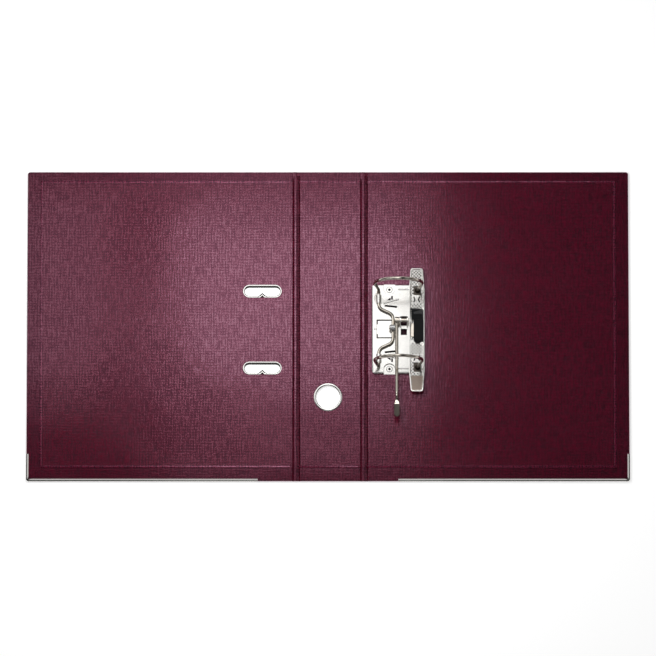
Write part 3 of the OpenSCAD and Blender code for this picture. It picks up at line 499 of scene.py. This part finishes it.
class LEVERFILE_OT_linings(Operator):
    """Lining sheets with the bead that was pressed along their free edges"""

    bl_idname = "lever_file.linings"
    bl_label = "Linings"

    def execute(self, context):
        finish, form = chosen(context)
        sheet = linen_vinyl("embossed_lining", finish, finish.vinyl)
        # The beads take paler, shinier vinyl: a painted highlight along the lining edges
        extra_finish = linen_vinyl("pressed_vinyl_bead", finish, finish.vinyl_worn, shine=1.05)
        # Lining faces under the base plate take near-black vinyl: painted shade
        soiled = linen_vinyl("soiled_vinyl", finish, finish.soiled, shine=0.15)
        for side, body in BODY_OF.items():
            bm = beside_joints(cad_copy(side + "_lining"), form)
            under_plate = self.part_off(bm) if side == "back" else None
            shown(
                bm, side + "_lining_drawn_back", sheet, body, [side + "_lining"], "lining",
                inside=under_plate, inner=[soiled] if under_plate else [],
            )
            bm = beside_joints(self.bead(form, side), form)
            shown(bm, side + "_lining_bead", extra_finish, body, slot="lining")
        return {"FINISHED"}

    @staticmethod
    def bead(form, side):
        """Raised frame along the free edges of a lining sheet, open at the hinges."""
        lo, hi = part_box(side + "_lining")
        sunk = 0.05 * MM
        bm = flat_sheet(lo.x, hi.x, lo.y, hi.y, hi.z - sunk)
        ring = bmesh.ops.inset_region(
            bm, faces=bm.faces[:], thickness=form.bead_width, use_boundary=True, use_even_offset=True
        )["faces"]

        def spare(face):
            p = face.calc_center_median()
            left, right = p.x - lo.x < form.bead_width, hi.x - p.x < form.bead_width
            return face not in ring or (left and side != "front") or (right and side != "back")

        bmesh.ops.delete(bm, geom=[f for f in bm.faces if spare(f)], context="FACES")
        raised(bm, form.bead_height + sunk)
        round_edges(bm, form.bead_height * 0.9, 3, lambda e: level_at(e, hi.z + form.bead_height))
        return bm

    @staticmethod
    def part_off(bm):
        """Cuts the lining where the base plate covers it, and tells the faces under the plate, which take painted
        shade.
        """
        lo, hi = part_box("base_plate")
        inset = Vector((3 * MM, 3 * MM, 0))
        lo, hi = lo + inset, hi - inset
        for corner in (lo, hi):
            for across in (ALONG_X, ALONG_Y):
                cut(bm, corner, across)

        def under_plate(face):
            p = face.calc_center_median()
            return lo.x < p.x < hi.x and lo.y < p.y < hi.y

        return under_plate


class LEVERFILE_OT_hinges(Operator):
    """Vinyl pressed between the boards into two creases and a ridge"""

    bl_idname = "lever_file.hinges"
    bl_label = "Hinges"

    CREASE_AT = 0.92  # place of a crease, as a share of half the joint
    SHALLOW_Z = 2.0 * MM  # height that the creases tend to at the top end
    SHALLOW_SHARE = 0.6  # how near they get to it
    FADE, FADE_FULL = 9 * MM, 0.35  # length over which they do, and share of it before they start to sink
    ARCH, ARCH_SHARE = 0.3 * MM, 0.8  # rise of the underside, and the share of the joint that it spans

    def execute(self, context):
        finish, form = chosen(context)
        vinyl = linen_vinyl("hinge_vinyl", finish, finish.vinyl, follows_sheet=True)
        # Right-facing flanks of the joints take darker, less shiny vinyl: painted shade
        crease = linen_vinyl("creased_vinyl", finish, finish.crease, shine=0.35, follows_sheet=True)
        for side, bodies in (("back", ("spine", "back_cover")), ("front", ("front_cover", "spine"))):
            name = side + "_hinge_strip"
            lo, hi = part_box(name)
            line = (lo.x + hi.x) / 2
            left, right = line - form.joint_left, line + form.joint_right
            middle, half = (left + right) / 2, (right - left) / 2
            bm = flat_sheet(left, right, lo.y, hi.y, cells=(40, 80))
            for v in bm.verts:
                v.co.z = self.section(form, (v.co.x - middle) / half, hi.y - v.co.y, hi.z)
            for v in raised(bm, -hi.z):
                v.co.z = lo.z + self.ARCH * max(0, 1 - ((v.co.x - middle) / (self.ARCH_SHARE * half)) ** 2)
            bmesh.ops.recalc_face_normals(bm, faces=bm.faces)
            sheet = bm.loops.layers.uv.new("sheet")
            for face in bm.faces:
                for loop in face.loops:
                    loop[sheet].uv = loop.vert.co.xy
            # Faces that lean to the right get the painted shade
            strip = shown(
                bm, side + "_hinge_vinyl", vinyl, None, [name], "vinyl", sharp=60,
                inside=lambda f: f.normal.z > 0.1 and f.normal.x > 0.2, inner=[crease],
            )
            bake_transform(strip)
        return {"FINISHED"}

    def section(self, form, across, from_end, top):
        """Height of the pressed vinyl at a share of the half width, less deep by its top end."""
        low, high, at = form.crease_z, form.ridge_z, self.CREASE_AT
        bends = [(-1, top), (-at, low), (form.ridge_from, high), (form.ridge_to, high), (at, low), (1, top)]
        for (x0, z0), (x1, z1) in zip(bends, bends[1:]):
            if across <= x1 + EXACT:
                z = z0 + (z1 - z0) * max(0.0, min(1.0, (across - x0) / (x1 - x0)))
                break
        fade = max(0.0, min(1.0, 1 + self.FADE_FULL - from_end / self.FADE))
        return z + self.SHALLOW_SHARE * fade * max(0.0, self.SHALLOW_Z - z)


class LEVERFILE_OT_trim(Operator):
    """Edge rails, slot eyelets, finger ring and their washers"""

    bl_idname = "lever_file.trim"
    bl_label = "Rails, eyelets and ring"

    CORNER = 6 * MM  # length of a rail's corner, whose lips slope on their own
    WALL = 1.2 * MM  # a rail's outer wall is higher than this
    NOSE_T, NOSE_SUNK = 0.5 * MM, 0.15 * MM  # thickness of a nose, and depth of its middle under the flange
    NOSE_FOOT = 6.5 * MM  # from the middle of a slot to the foot of its nose
    NOSE_SLOPE, NOSE_FALL = 0.45 * MM, 0.25 * MM  # width and fall of its outer slope
    NOSE_LIP = 0.7 * MM  # width of its flat top, round the dent
    DENT_WALL, DENT_DEPTH = 0.1 * MM, 0.2 * MM  # width of the dent's walls, and its depth

    def execute(self, context):
        finish, form = chosen(context)
        nickel, bare = steels(finish, "nickel_plated_sheet", "bare_steel")
        for side in ("front", "back"):
            self.rail(form, side, nickel)
        for slot in ("upper_slot", "lower_slot"):
            self.stamping(form, slot + "_eyelet", "front_cover", nickel, bare)
            self.stamping(form, slot + "_washer", "front_cover", nickel, bare)
        self.stamping(form, "finger_ring_washer", "spine", nickel, bare)
        bm = cad_copy("finger_ring")
        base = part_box("spine_lining")[1].z
        for v in bm.verts:
            if v.co.z > base:
                v.co.z = base + form.ring_flat * (v.co.z - base)
        shown(bm, "finger_ring_flat", nickel, "spine", ["finger_ring"], sharp=60)
        return {"FINISHED"}

    def rail(self, form, side, nickel):
        """Folded rail whose upper lips slope down to a rounded outer edge."""
        name = side + "_edge_rail"
        lo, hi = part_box(name)
        end = lo.x if side == "front" else hi.x
        bm = cad_copy(name)
        cut(bm, (end - math.copysign(self.CORNER, end), 0, 0), ALONG_X)
        cut(bm, (0, lo.y + self.CORNER, 0), ALONG_Y)
        outer = {v for e in bm.edges if self.outside(e) for v in e.verts if hi.z - v.co.z < CLOSE}
        for v in outer:
            v.co.z -= form.rail_slope
        bmesh.ops.triangulate(bm, faces=[f for f in bm.faces if outer & set(f.verts) and f.normal.z > 0.5])
        round_edges(bm, form.rail_edge, 3, lambda e: e.is_convex and self.outside(e), 40, 0.1 * MM)
        shown(bm, name + "_rounded", nickel, side + "_cover", [name], flat=True)

    def outside(self, edge):
        """Is this an edge along the outer wall of a rail?"""
        if abs(edge.verts[0].co.z - edge.verts[1].co.z) > EXACT:
            return False
        for face in edge.link_faces:
            heights = [v.co.z for v in face.verts]
            out = face.normal.y < -0.1 or face.normal.x * edge.verts[0].co.x > 0.01
            if out and abs(face.normal.z) < 0.1 and max(heights) - min(heights) > self.WALL:
                return True
        return False

    def stamping(self, form, name, body, nickel, bare):
        """A washer, or an eyelet that rolls into a collar painted dark as shade, with its nose."""
        eyelet = "eyelet" in name
        lo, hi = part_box(name)
        top = hi.z if eyelet else lo.z
        middle = (lo + hi) / 2
        reach = (hi.x - lo.x - hi.y + lo.y) / 2

        # Inner collar walls take painted shade
        def collar(face):
            p = face.calc_center_median() - middle
            p.x -= max(-reach, min(reach, p.x))
            return abs(face.normal.z) < 0.8 and face.normal.xy.dot(p.xy) < 0

        def at_top(edge, inner):
            return edge.is_convex and level_at(edge, top) and any(collar(f) for f in edge.link_faces) == inner

        bm = cad_copy(name)
        if eyelet:
            round_edges(bm, form.eyelet_roll, 5, lambda e: at_top(e, True), 50)
            # The nose's dent takes painted shade
            shown(
                self.nose(form, middle, top), name + "_nose", nickel, body,
                inside=lambda f: f.normal.z > 0.1 and f.calc_center_median().z < top + 0.08 * MM, inner=[bare],
            )
        round_edges(bm, form.eyelet_edge if eyelet else form.washer_edge, 4, lambda e: at_top(e, False), 50)
        if eyelet:
            for v in bm.verts:
                if v.co.z < lo.z + 0.2 * MM and v.co.y > middle.y:
                    v.co.y -= form.eyelet_taper * (v.co.y - middle.y) / (hi.y - middle.y)
        inner = {"inside": collar, "inner": [bare]} if eyelet else {}
        shown(bm, name + "_rounded", nickel, body, [name], flat=True, **inner)

    def nose(self, form, middle, top):
        """Locking nose of an eyelet: a pressed-in chevron round a three-sided dent painted dark as shade."""
        bm = bmesh.new()
        bmesh.ops.create_cone(bm, cap_ends=True, segments=3, radius1=1, radius2=1, depth=self.NOSE_T)
        tip = max(v.co.y for v in bm.verts)
        foot = min(v.co.y for v in bm.verts)
        wide = max(v.co.x for v in bm.verts)
        tall = form.nose_up / (tip - foot)
        bmesh.ops.scale(bm, verts=bm.verts, vec=(form.nose_half / wide, tall, 1))
        place = (middle.x, middle.y - self.NOSE_FOOT - foot * tall, top - self.NOSE_SUNK)
        bmesh.ops.translate(bm, verts=bm.verts, vec=place)
        face = max(bm.faces, key=lambda f: f.calc_center_median().z)
        outer = set(bm.verts)
        bmesh.ops.inset_region(bm, faces=[face], thickness=self.NOSE_SLOPE, use_even_offset=True)
        for v in outer:
            v.co.z -= self.NOSE_FALL
        bmesh.ops.inset_region(bm, faces=[face], thickness=self.NOSE_LIP, use_even_offset=True)
        bmesh.ops.inset_region(
            bm, faces=[face], thickness=self.DENT_WALL, depth=-self.DENT_DEPTH, use_even_offset=True
        )
        floor = min(v.co.y for v in outer)
        for v in set(bm.verts) - outer:
            if v.co.y < middle.y - 4 * MM:
                v.co.y = floor + self.DENT_WALL
        bmesh.ops.recalc_face_normals(bm, faces=bm.faces)
        return bm


class LEVERFILE_OT_plate(Operator):
    """Base plate, its rivets, the leaf spring and the posts"""

    bl_idname = "lever_file.plate"
    bl_label = "Base plate"

    BAR_GAP = 0.3 * MM  # between plate and press bar
    RIB, RIB_HALF = (11.3 * MM, 32 * MM), (4 * MM, 3.4 * MM)  # pressed ribs from the journals, kept crisp
    RUB = (-13.5 * MM, 7 * MM)  # stretch of the plate beside each post, along the bar, given painted shade
    SHADE_IN = 2 * MM  # from the sides of the bar to the painted shade
    EDGE = 0.6 * MM  # rims lie closer to a side than this, and shorter edges stay sharp
    RIVETS, BORE = ((10.8, 41.2), (39, 24)), 1.4 * MM  # places from the journals in millimetres, and bore radius
    FOOT = 1.3 * MM  # height of a post's riveted foot

    def execute(self, context):
        finish, form = chosen(context)
        names = "nickel_plated_sheet", "nickel_plated_wire", "bare_steel", "rubbed_steel"
        nickel, wire, bare, rubbed = steels(finish, *names)
        plate_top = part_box("press_bar")[0].z - self.BAR_GAP
        self.plate(form, plate_top, nickel, rubbed)
        paint("spring_rivet", nickel)
        lo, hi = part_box("plate_rivets")
        spots = [Vector((JOURNAL_X + x * MM, MECH_Y + s * y * MM)) for x, y in self.RIVETS for s in (1, -1)]

        # Bores of the hollow rivets take painted shade
        def bore(face):
            p = face.calc_center_median()
            return lo.z + MM < p.z < hi.z - 0.05 * MM and any((p.xy - c).length < self.BORE for c in spots)

        shown(
            cad_copy("plate_rivets"), "plate_rivets_hollow", nickel, "back_cover", ["plate_rivets"],
            inside=bore, inner=[bare],
        )
        foot = plate_top + self.FOOT
        for name in ("upper_post", "lower_post"):
            bm = cad_copy(name)
            round_edges(bm, form.foot_edge, 4, lambda e: e.is_convex and level_at(e, foot), 60)
            # The riveted feet take painted shade
            shown(
                bm, name + "_riveted", wire, "back_cover", [name],
                inside=lambda f: f.calc_center_median().z < foot + CLOSE, inner=[bare],
            )
        paint("leaf_spring", nickel)
        return {"FINISHED"}

    def plate(self, form, plate_top, nickel, rubbed):
        """Stamped plate with rolled free sides, with painted shade under the press bar."""
        bm = cad_copy("base_plate")
        lo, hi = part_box("base_plate")
        bar_lo, bar_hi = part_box("press_bar")

        def rim(edge):
            p = middle_of(edge)
            return min(p.x - lo.x, p.y - lo.y, hi.y - p.y) < self.EDGE and level_at(edge, plate_top)

        def plain(edge):
            p = middle_of(edge)
            away = abs(p.x - JOURNAL_X - self.RIB[0]), abs(abs(p.y - MECH_Y) - self.RIB[1])
            return not rim(edge) and (away[0] > self.RIB_HALF[0] or away[1] > self.RIB_HALF[1])

        for radius, segments, wanted in ((form.plate_rim, 4, rim), (form.sheet_edge, 3, plain)):
            round_edges(bm, radius, segments, lambda e: e.is_convex and wanted(e), 50, self.EDGE)
        sides = bar_lo.x + self.SHADE_IN, bar_hi.x - self.SHADE_IN
        for x in sides:
            cut(bm, (x, 0, 0), ALONG_X)
        for half in (-1, 1):
            for along in self.RUB:
                cut(bm, (0, MECH_Y + half * (POST_Y + along), 0), ALONG_Y)

        # Plate faces under the press bar take painted shade, seen through the bar's windows
        def under_bar(face):
            p = face.calc_center_median()
            along = abs(p.y - MECH_Y) - POST_Y
            return abs(p.z - plate_top) < CLOSE and sides[0] < p.x < sides[1] and self.RUB[0] < along < self.RUB[1]

        shown(
            bm, "base_plate_rounded", nickel, "back_cover", ["base_plate"],
            flat=True, inside=under_bar, inner=[rubbed],
        )


class LEVERFILE_OT_lever(Operator):
    """Arch wire, lever, axle, roller and pins"""

    bl_idname = "lever_file.lever"
    bl_label = "Arches and lever"

    def execute(self, context):
        finish, form = chosen(context)
        wire, spring, rubbed = steels(finish, "nickel_plated_wire", "spring_steel", "rubbed_steel")
        for name in ("arch_wire", "lever_axle", "roller_pin", "flap_pin"):
            paint(name, wire)
        paint("roller", spring)
        # The thumb end takes darker, duller steel
        thumb_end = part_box("lever_arm")[0].y + form.dull_thumb_end
        shown(
            cad_copy("lever_arm"), "lever_arm_handled", wire, "lever", ["lever_arm"],
            inside=lambda f: f.calc_center_median().y < thumb_end, inner=[rubbed],
        )
        return {"FINISHED"}


class LEVERFILE_OT_press_bar(Operator):
    """Press bar with rounded rims, a knurled floor and curved cuts"""

    bl_idname = "lever_file.press_bar"
    bl_label = "Press bar"

    FLOOR, KNURL_Z, LIP_Z = 1.2 * MM, 0.99 * MM, 1.04 * MM  # heights over the underside of the bar
    HOLLOW, RIM = 1.4 * MM, 2.2 * MM  # hollow edges lie below the one and rims above the other
    OPEN_HALF, OPEN = 6 * MM, (-14 * MM, 7 * MM)  # window and curved cuts: half their width, and place from a post
    CUT_Y, CUT_X = 30.4 * MM, 5.2 * MM  # curved cuts from the middle of the mechanism and of the bar
    CUT_R, CUT_TURN = (2.7 * MM, 3.9 * MM), 110  # inner and outer radius of a lip painted dark as shade, and its turn in degrees
    CUT_DEPTH = 0.3 * MM
    FLAP_ROOM, FLAP_LAP = 2 * MM, 4 * MM  # crisp room round the flap, and knurled length under its upper end
    SIDE_IN, END_IN = 2 * MM, 2.2 * MM  # rims that stay free of knurling
    WINDOW_HALF = (4.6 * MM, 5.6 * MM)  # unknurled room round a window
    SLIT_X, SLIT_Y, SLIT_HALF = (0.8 * MM, 4.8 * MM), -9.6 * MM, 3.9 * MM  # and round a curved cut

    def execute(self, context):
        finish, form = chosen(context)
        nickel, bare, handled = steels(finish, "nickel_plated_sheet", "bare_steel", "handled_nickel")
        lo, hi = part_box("press_bar")
        middle = (lo + hi) / 2
        flap_lo, flap_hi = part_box("press_flap")
        flap_room = flap_lo.y - self.FLAP_ROOM, flap_hi.y + self.FLAP_ROOM

        def over_floor(p):
            return p.z - lo.z - self.rise(form, p.y - middle.y, hi.y - middle.y)

        def hollow(edge):
            p = middle_of(edge)
            return not edge.is_convex and over_floor(p) < self.HOLLOW and not flap_room[0] < p.y < flap_room[1]

        def rim(edge):
            return edge.is_convex and over_floor(middle_of(edge)) > self.RIM

        def at_end(face):
            return face.calc_center_median().y - lo.y < form.bar_end

        # Window walls take painted shade; the floor of the lower bent-up end takes darker, warmer plating
        def extra_finish(face):
            p = face.calc_center_median()
            opening = abs(p.x - middle.x) < self.OPEN_HALF
            opening = opening and self.OPEN[0] < abs(p.y - MECH_Y) - POST_Y < self.OPEN[1]
            if opening and abs(face.normal.z) < 0.5:
                return 1
            return 2 if at_end(face) and face.normal.z > 0.95 and over_floor(p) < self.FLOOR else 0

        bm = cad_copy("press_bar")
        for y in flap_room:
            cut(bm, (0, y, 0), ALONG_Y)
        round_edges(bm, form.rim_fillet, 4, hollow, 60, 3 * MM)
        round_edges(bm, form.rim_edge, 4, rim, 60, 1.2 * MM)
        # The lower bent-up end of the floor and the knurl takes darker, warmer plating
        shown(
            bm, "press_bar_rounded", nickel, "press_bar", ["press_bar"],
            flat=True, inside=extra_finish, inner=[bare, handled],
        )
        shown(
            self.knurl(form, lo, hi), "press_bar_knurl", nickel, "press_bar", sharp=5,
            inside=at_end, inner=[handled],
        )
        # Thin dark sheets in the curved cuts: painted shade
        lips = self.crescents(middle.x, lo.z + self.LIP_Z)
        shown(lips, "press_bar_crescents", bare, "press_bar")
        return {"FINISHED"}

    @staticmethod
    def rise(form, along, half):
        """Height that a bent-up end gains at a place along the bar."""
        return max(0.0, abs(along) - half + form.bar_end) * math.tan(form.bar_bend)

    def crescents(self, middle, floor):
        """Lips of the curved cuts beside the windows: thin sheets painted dark as the shade in the cuts."""
        bm = bmesh.new()
        turn = math.radians(self.CUT_TURN)
        for along in (-self.CUT_Y, self.CUT_Y):
            for side in (-1, 1):
                centre = Vector((middle + side * self.CUT_X, MECH_Y + along, floor))
                start = Matrix.Rotation(-turn / 2, 3, "Z") @ Vector((-side, 0, 0))
                ends = [bm.verts.new(centre + start * r) for r in self.CUT_R]
                edge = bm.edges.new(ends)
                bmesh.ops.spin(bm, geom=ends + [edge], cent=centre, axis=(0, 0, 1), angle=turn, steps=8)
        raised(bm, -self.CUT_DEPTH)
        return bm

    def knurl(self, form, lo, hi):
        """Pyramids rolled into the floor of the bar, clear of its openings and of the flap."""
        middle, half = (lo + hi) / 2, (hi - lo) / 2
        flap_lo, flap_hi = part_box("press_flap")
        wide, tip, end = half.x - self.SIDE_IN, form.tip_half - self.SIDE_IN, half.y - self.END_IN
        cells = 2 * int(half.y / form.knurl_side)
        side = 2 * half.y / cells
        slope = (wide - tip) / form.bar_taper
        bm = bmesh.new()
        bmesh.ops.create_grid(bm, x_segments=cells, y_segments=cells, size=half.y)
        cuts = [((s * wide, 0, 0), (s, 0, 0)) for s in (1, -1)]
        cuts += [((0, s * end, 0), (0, s, 0)) for s in (1, -1)]
        cuts += [((sx * tip, sy * half.y, 0), (sx, sy * slope, 0)) for sx in (1, -1) for sy in (1, -1)]
        for place, out in cuts:
            cut(bm, place, out, beyond=True, near=EXACT / 10)
        bmesh.ops.translate(bm, verts=bm.verts, vec=(middle.x, middle.y, 0))

        def spare(face):
            p = face.calc_center_median()
            cell = (p - middle) / side
            across, along = abs(p.x - middle.x), abs(p.y - MECH_Y) - POST_Y
            off = abs(p.x - middle.x - form.window_off)
            odd = (math.floor(cell.x) + math.floor(cell.y)) % 2
            window = off < self.WINDOW_HALF[0] and abs(along) < self.WINDOW_HALF[1]
            slit = self.SLIT_X[0] < across < self.SLIT_X[1] and abs(along - self.SLIT_Y) < self.SLIT_HALF
            return odd or window or slit or flap_lo.y < p.y < flap_hi.y - self.FLAP_LAP

        bmesh.ops.delete(bm, geom=[f for f in bm.faces if spare(f)], context="FACES")
        bmesh.ops.poke(
            bm, faces=bm.faces, offset=form.knurl_steep, center_mode="MEAN_WEIGHTED", use_relative_offset=True
        )
        for v in bm.verts:
            v.co.z += lo.z + self.KNURL_Z + self.rise(form, v.co.y - middle.y, half.y)
        return bm


class LEVERFILE_OT_flap(Operator):
    """Black plastic flap on the press bar"""

    bl_idname = "lever_file.flap"
    bl_label = "Flap"

    TONGUE = 6 * MM  # shiny tongue at the upper end, glossed by handling
    BARREL, BARREL_FROM = 3 * MM, 7 * MM  # width of the plated hinge barrel, and its distance from the upper end

    def execute(self, context):
        finish, form = chosen(context)
        plastic = moulded_plastic("moulded_black_plastic", finish.plastic)
        handled = moulded_plastic("handled_black_plastic", finish.plastic, shine=0.9)
        lo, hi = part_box("press_flap")

        def extra_finish(face):
            p = face.calc_center_median()
            if p.y > hi.y - self.TONGUE:
                return 1
            return 2 if p.x < lo.x + self.BARREL and p.y < hi.y - self.BARREL_FROM else 0

        bm = cad_copy("press_flap")
        round_edges(bm, form.flap_edge, 3, lambda e: e.is_convex, 40)
        shown(
            bm, "press_flap_rounded", plastic, "press_flap", ["press_flap"], "black_plastic",
            flat=True, inside=extra_finish, inner=[handled, plated_steel("nickel_plated_wire", finish)],
        )
        return {"FINISHED"}


class LEVERFILE_OT_stage(Operator):
    """Pale floor, soft studio light and the camera"""

    bl_idname = "lever_file.stage"
    bl_label = "Floor, light and camera"

    SENSOR = 36  # width in millimetres
    BOX_Z = 0.36  # height of the boxes that the vinyl mirrors
    # Each box: where on the table the camera sees it mirrored, its size in metres, and its radiance
    BOXES = {
        "Glare box": ((-0.035, 0.03), (0.27, 0.18), 1.55),
        "Left box": ((-0.305, 0.04), (0.19, 0.24), 0.69),
        "Lower box": ((-0.04, -0.11), (0.28, 0.1), 0.47),
        "Top box": ((-0.05, 0.2235), (0.3, 0.2), 0.46),
    }
    GLOW = 0.45  # light that the floor gives to the camera and to shiny surfaces
    # What shiny surfaces mirror: direction, strength, and the cosines at which it starts and is full
    WALLS = (
        ((-0.92, 0.39, 0), 0.1, 0.45, 0.8),
        ((0.98, 0.2, 0), 0.06, 0.45, 0.8),
        ((0, -0.47, 0.88), 0.6, 0.95, 0.98),
        ((-0.63, 0.21, 0.75), 0.6, 0.95, 0.98),
        ((0, 0.62, 0.785), 1.7, 0.965, 0.985),
        ((0.63, 0.21, 0.75), 0.6, 0.95, 0.98),
    )

    def execute(self, context):
        stage = context.scene.lever_file_stage
        context.scene.view_settings.view_transform = "Standard"
        self.camera(context, stage)
        self.floor()
        self.world(context, stage)
        lean = self.BOX_Z / math.tan(stage.elevation)
        for name, ((x, y), size, radiance) in self.BOXES.items():
            self.lamp(name, (x, y + lean, self.BOX_Z), (x, y, 0), size, radiance)
        self.lamp("Key box", (-0.12, 0.1, 0.45), (0, 0, 0), (0.2, 0.2), 8, glossy=False)
        return {"FINISHED"}

    def camera(self, context, stage):
        """Looks down at the file from its bottom edge."""
        data = bpy.data.cameras.new("Camera")
        camera = bpy.data.objects.new("Camera", data)
        context.scene.collection.objects.link(camera)
        data.sensor_width, data.lens, data.clip_end = self.SENSOR, stage.lens, 100
        back = Vector((0, -math.cos(stage.elevation), math.sin(stage.elevation)))
        distance = stage.view_width * stage.lens / self.SENSOR
        camera.location = Vector((stage.aim_x, stage.aim_y, 0)) + back * distance
        camera.rotation_mode = "QUATERNION"
        camera.rotation_quaternion = (-back).to_track_quat("-Z", "Y")
        context.scene.camera = camera

    def floor(self):
        """White card that keeps the shadow and shows white to the camera and in metal."""
        bm = flat_sheet(-4, 4, -4, 4, -0.3 * MM)
        mesh = bpy.data.meshes.new("Floor")
        bm.to_mesh(mesh)
        bm.free()
        floor = bpy.data.objects.new("Floor", mesh)
        bpy.context.scene.collection.objects.link(floor)
        material = bpy.data.materials.new("white_card")
        tree = cleared(material)
        path = node(tree, "ShaderNodeLightPath").outputs
        rays = {0: path["Is Camera Ray"], 1: path["Is Glossy Ray"]}
        seen = node(tree, "ShaderNodeMath", rays, operation="MAXIMUM")
        strength = node(tree, "ShaderNodeMath", {0: seen.outputs[0], 1: self.GLOW}, operation="MULTIPLY")
        card = node(tree, "ShaderNodeBsdfDiffuse", {"Color": (0.9, 0.9, 0.9, 1)})
        glow = node(tree, "ShaderNodeEmission", {"Color": (1, 1, 1, 1), "Strength": strength.outputs[0]})
        both = node(tree, "ShaderNodeAddShader", {0: card.outputs[0], 1: glow.outputs[0]})
        node(tree, "ShaderNodeOutputMaterial", {"Surface": both.outputs[0]})
        mesh.materials.append(material)

    def world(self, context, stage):
        """Even light, a white backdrop, and in reflections a ring of pale walls with bright patches."""
        world = bpy.data.worlds.new("Studio")
        tree = cleared(world)
        path = node(tree, "ShaderNodeLightPath").outputs
        way = node(tree, "ShaderNodeTexCoord").outputs["Generated"]
        height = node(tree, "ShaderNodeSeparateXYZ", {0: way}).outputs["Z"]
        # Value, its start and end, the strength there, and how it joins the strength so far
        parts = [(height, 0.1, 0.3, 0.012, stage.ring, "ADD"), (height, 0.72, 0.85, 1, 0.03, "MULTIPLY")]
        for direction, bright, start, full in self.WALLS:
            toward = node(tree, "ShaderNodeVectorMath", {0: way, 1: direction}, operation="DOT_PRODUCT")
            parts.append((toward.outputs["Value"], start, full, 0, bright, "ADD"))
        strength = 0
        for value, start, full, low, high, joined in parts:
            limits = {"Value": value, "From Min": start, "From Max": full, "To Min": low, "To Max": high}
            part = node(tree, "ShaderNodeMapRange", limits, interpolation_type="SMOOTHSTEP").outputs[0]
            strength = node(tree, "ShaderNodeMath", {0: part, 1: strength}, operation=joined).outputs[0]
        even, mirrored, white = (
            node(tree, "ShaderNodeBackground", {"Color": (1, 1, 1, 1), "Strength": value}).outputs[0]
            for value in (stage.ambient, strength, 1)
        )
        rays = {0: path["Is Glossy Ray"], 1: path["Is Transmission Ray"]}
        shiny = node(tree, "ShaderNodeMath", rays, operation="MAXIMUM")
        bounced = node(tree, "ShaderNodeMixShader", {0: shiny.outputs[0], 1: even, 2: mirrored})
        seen = node(tree, "ShaderNodeMixShader", {0: path["Is Camera Ray"], 1: bounced.outputs[0], 2: white})
        node(tree, "ShaderNodeOutputWorld", {"Surface": seen.outputs[0]})
        context.scene.world = world

    @staticmethod
    def lamp(name, place, aim, size, radiance, glossy=True):
        """A soft box that faces a place on the table."""
        data = bpy.data.lights.new(name, "AREA")
        data.shape = "RECTANGLE"
        data.size, data.size_y = size
        data.energy = radiance * math.pi * size[0] * size[1]
        lamp = bpy.data.objects.new(name, data)
        bpy.context.scene.collection.objects.link(lamp)
        lamp.location = place
        lamp.rotation_mode = "QUATERNION"
        lamp.rotation_quaternion = (Vector(aim) - Vector(place)).to_track_quat("-Z", "Y")
        lamp.visible_glossy = glossy
        lamp.visible_camera = False


class LEVERFILE_PT_sidebar(Panel):
    """Steps and sizes of the lever arch file"""

    bl_label = "Lever file"
    bl_idname = "LEVERFILE_PT_sidebar"
    bl_space_type = "VIEW_3D"
    bl_region_type = "UI"
    bl_category = "Lever file"

    def draw(self, context):
        for step in STEPS:
            self.layout.operator(step.bl_idname)
        for group in GROUPS:
            values = getattr(context.scene, group)
            for name in values.bl_rna.properties.keys():
                if name not in ("name", "rna_type"):
                    self.layout.prop(values, name)


STEPS = (
    LEVERFILE_OT_stage,
    LEVERFILE_OT_covers,
    LEVERFILE_OT_linings,
    LEVERFILE_OT_hinges,
    LEVERFILE_OT_trim,
    LEVERFILE_OT_plate,
    LEVERFILE_OT_lever,
    LEVERFILE_OT_press_bar,
    LEVERFILE_OT_flap,
)
GROUPS = {
    "lever_file_finish": LeverFileFinish,
    "lever_file_form": LeverFileForm,
    "lever_file_stage": LeverFileStage,
}
CLASSES = (*GROUPS.values(), *STEPS, LEVERFILE_PT_sidebar)


def register():
    for made in CLASSES:
        bpy.utils.register_class(made)
    for name, made in GROUPS.items():
        setattr(bpy.types.Scene, name, PointerProperty(type=made))


def unregister():
    for name in GROUPS:
        delattr(bpy.types.Scene, name)
    for made in reversed(CLASSES):
        bpy.utils.unregister_class(made)


def main():
    register()
    for step in STEPS:
        family, name = step.bl_idname.split(".")
        getattr(getattr(bpy.ops, family), name)()


if __name__ == "__main__":
    main()
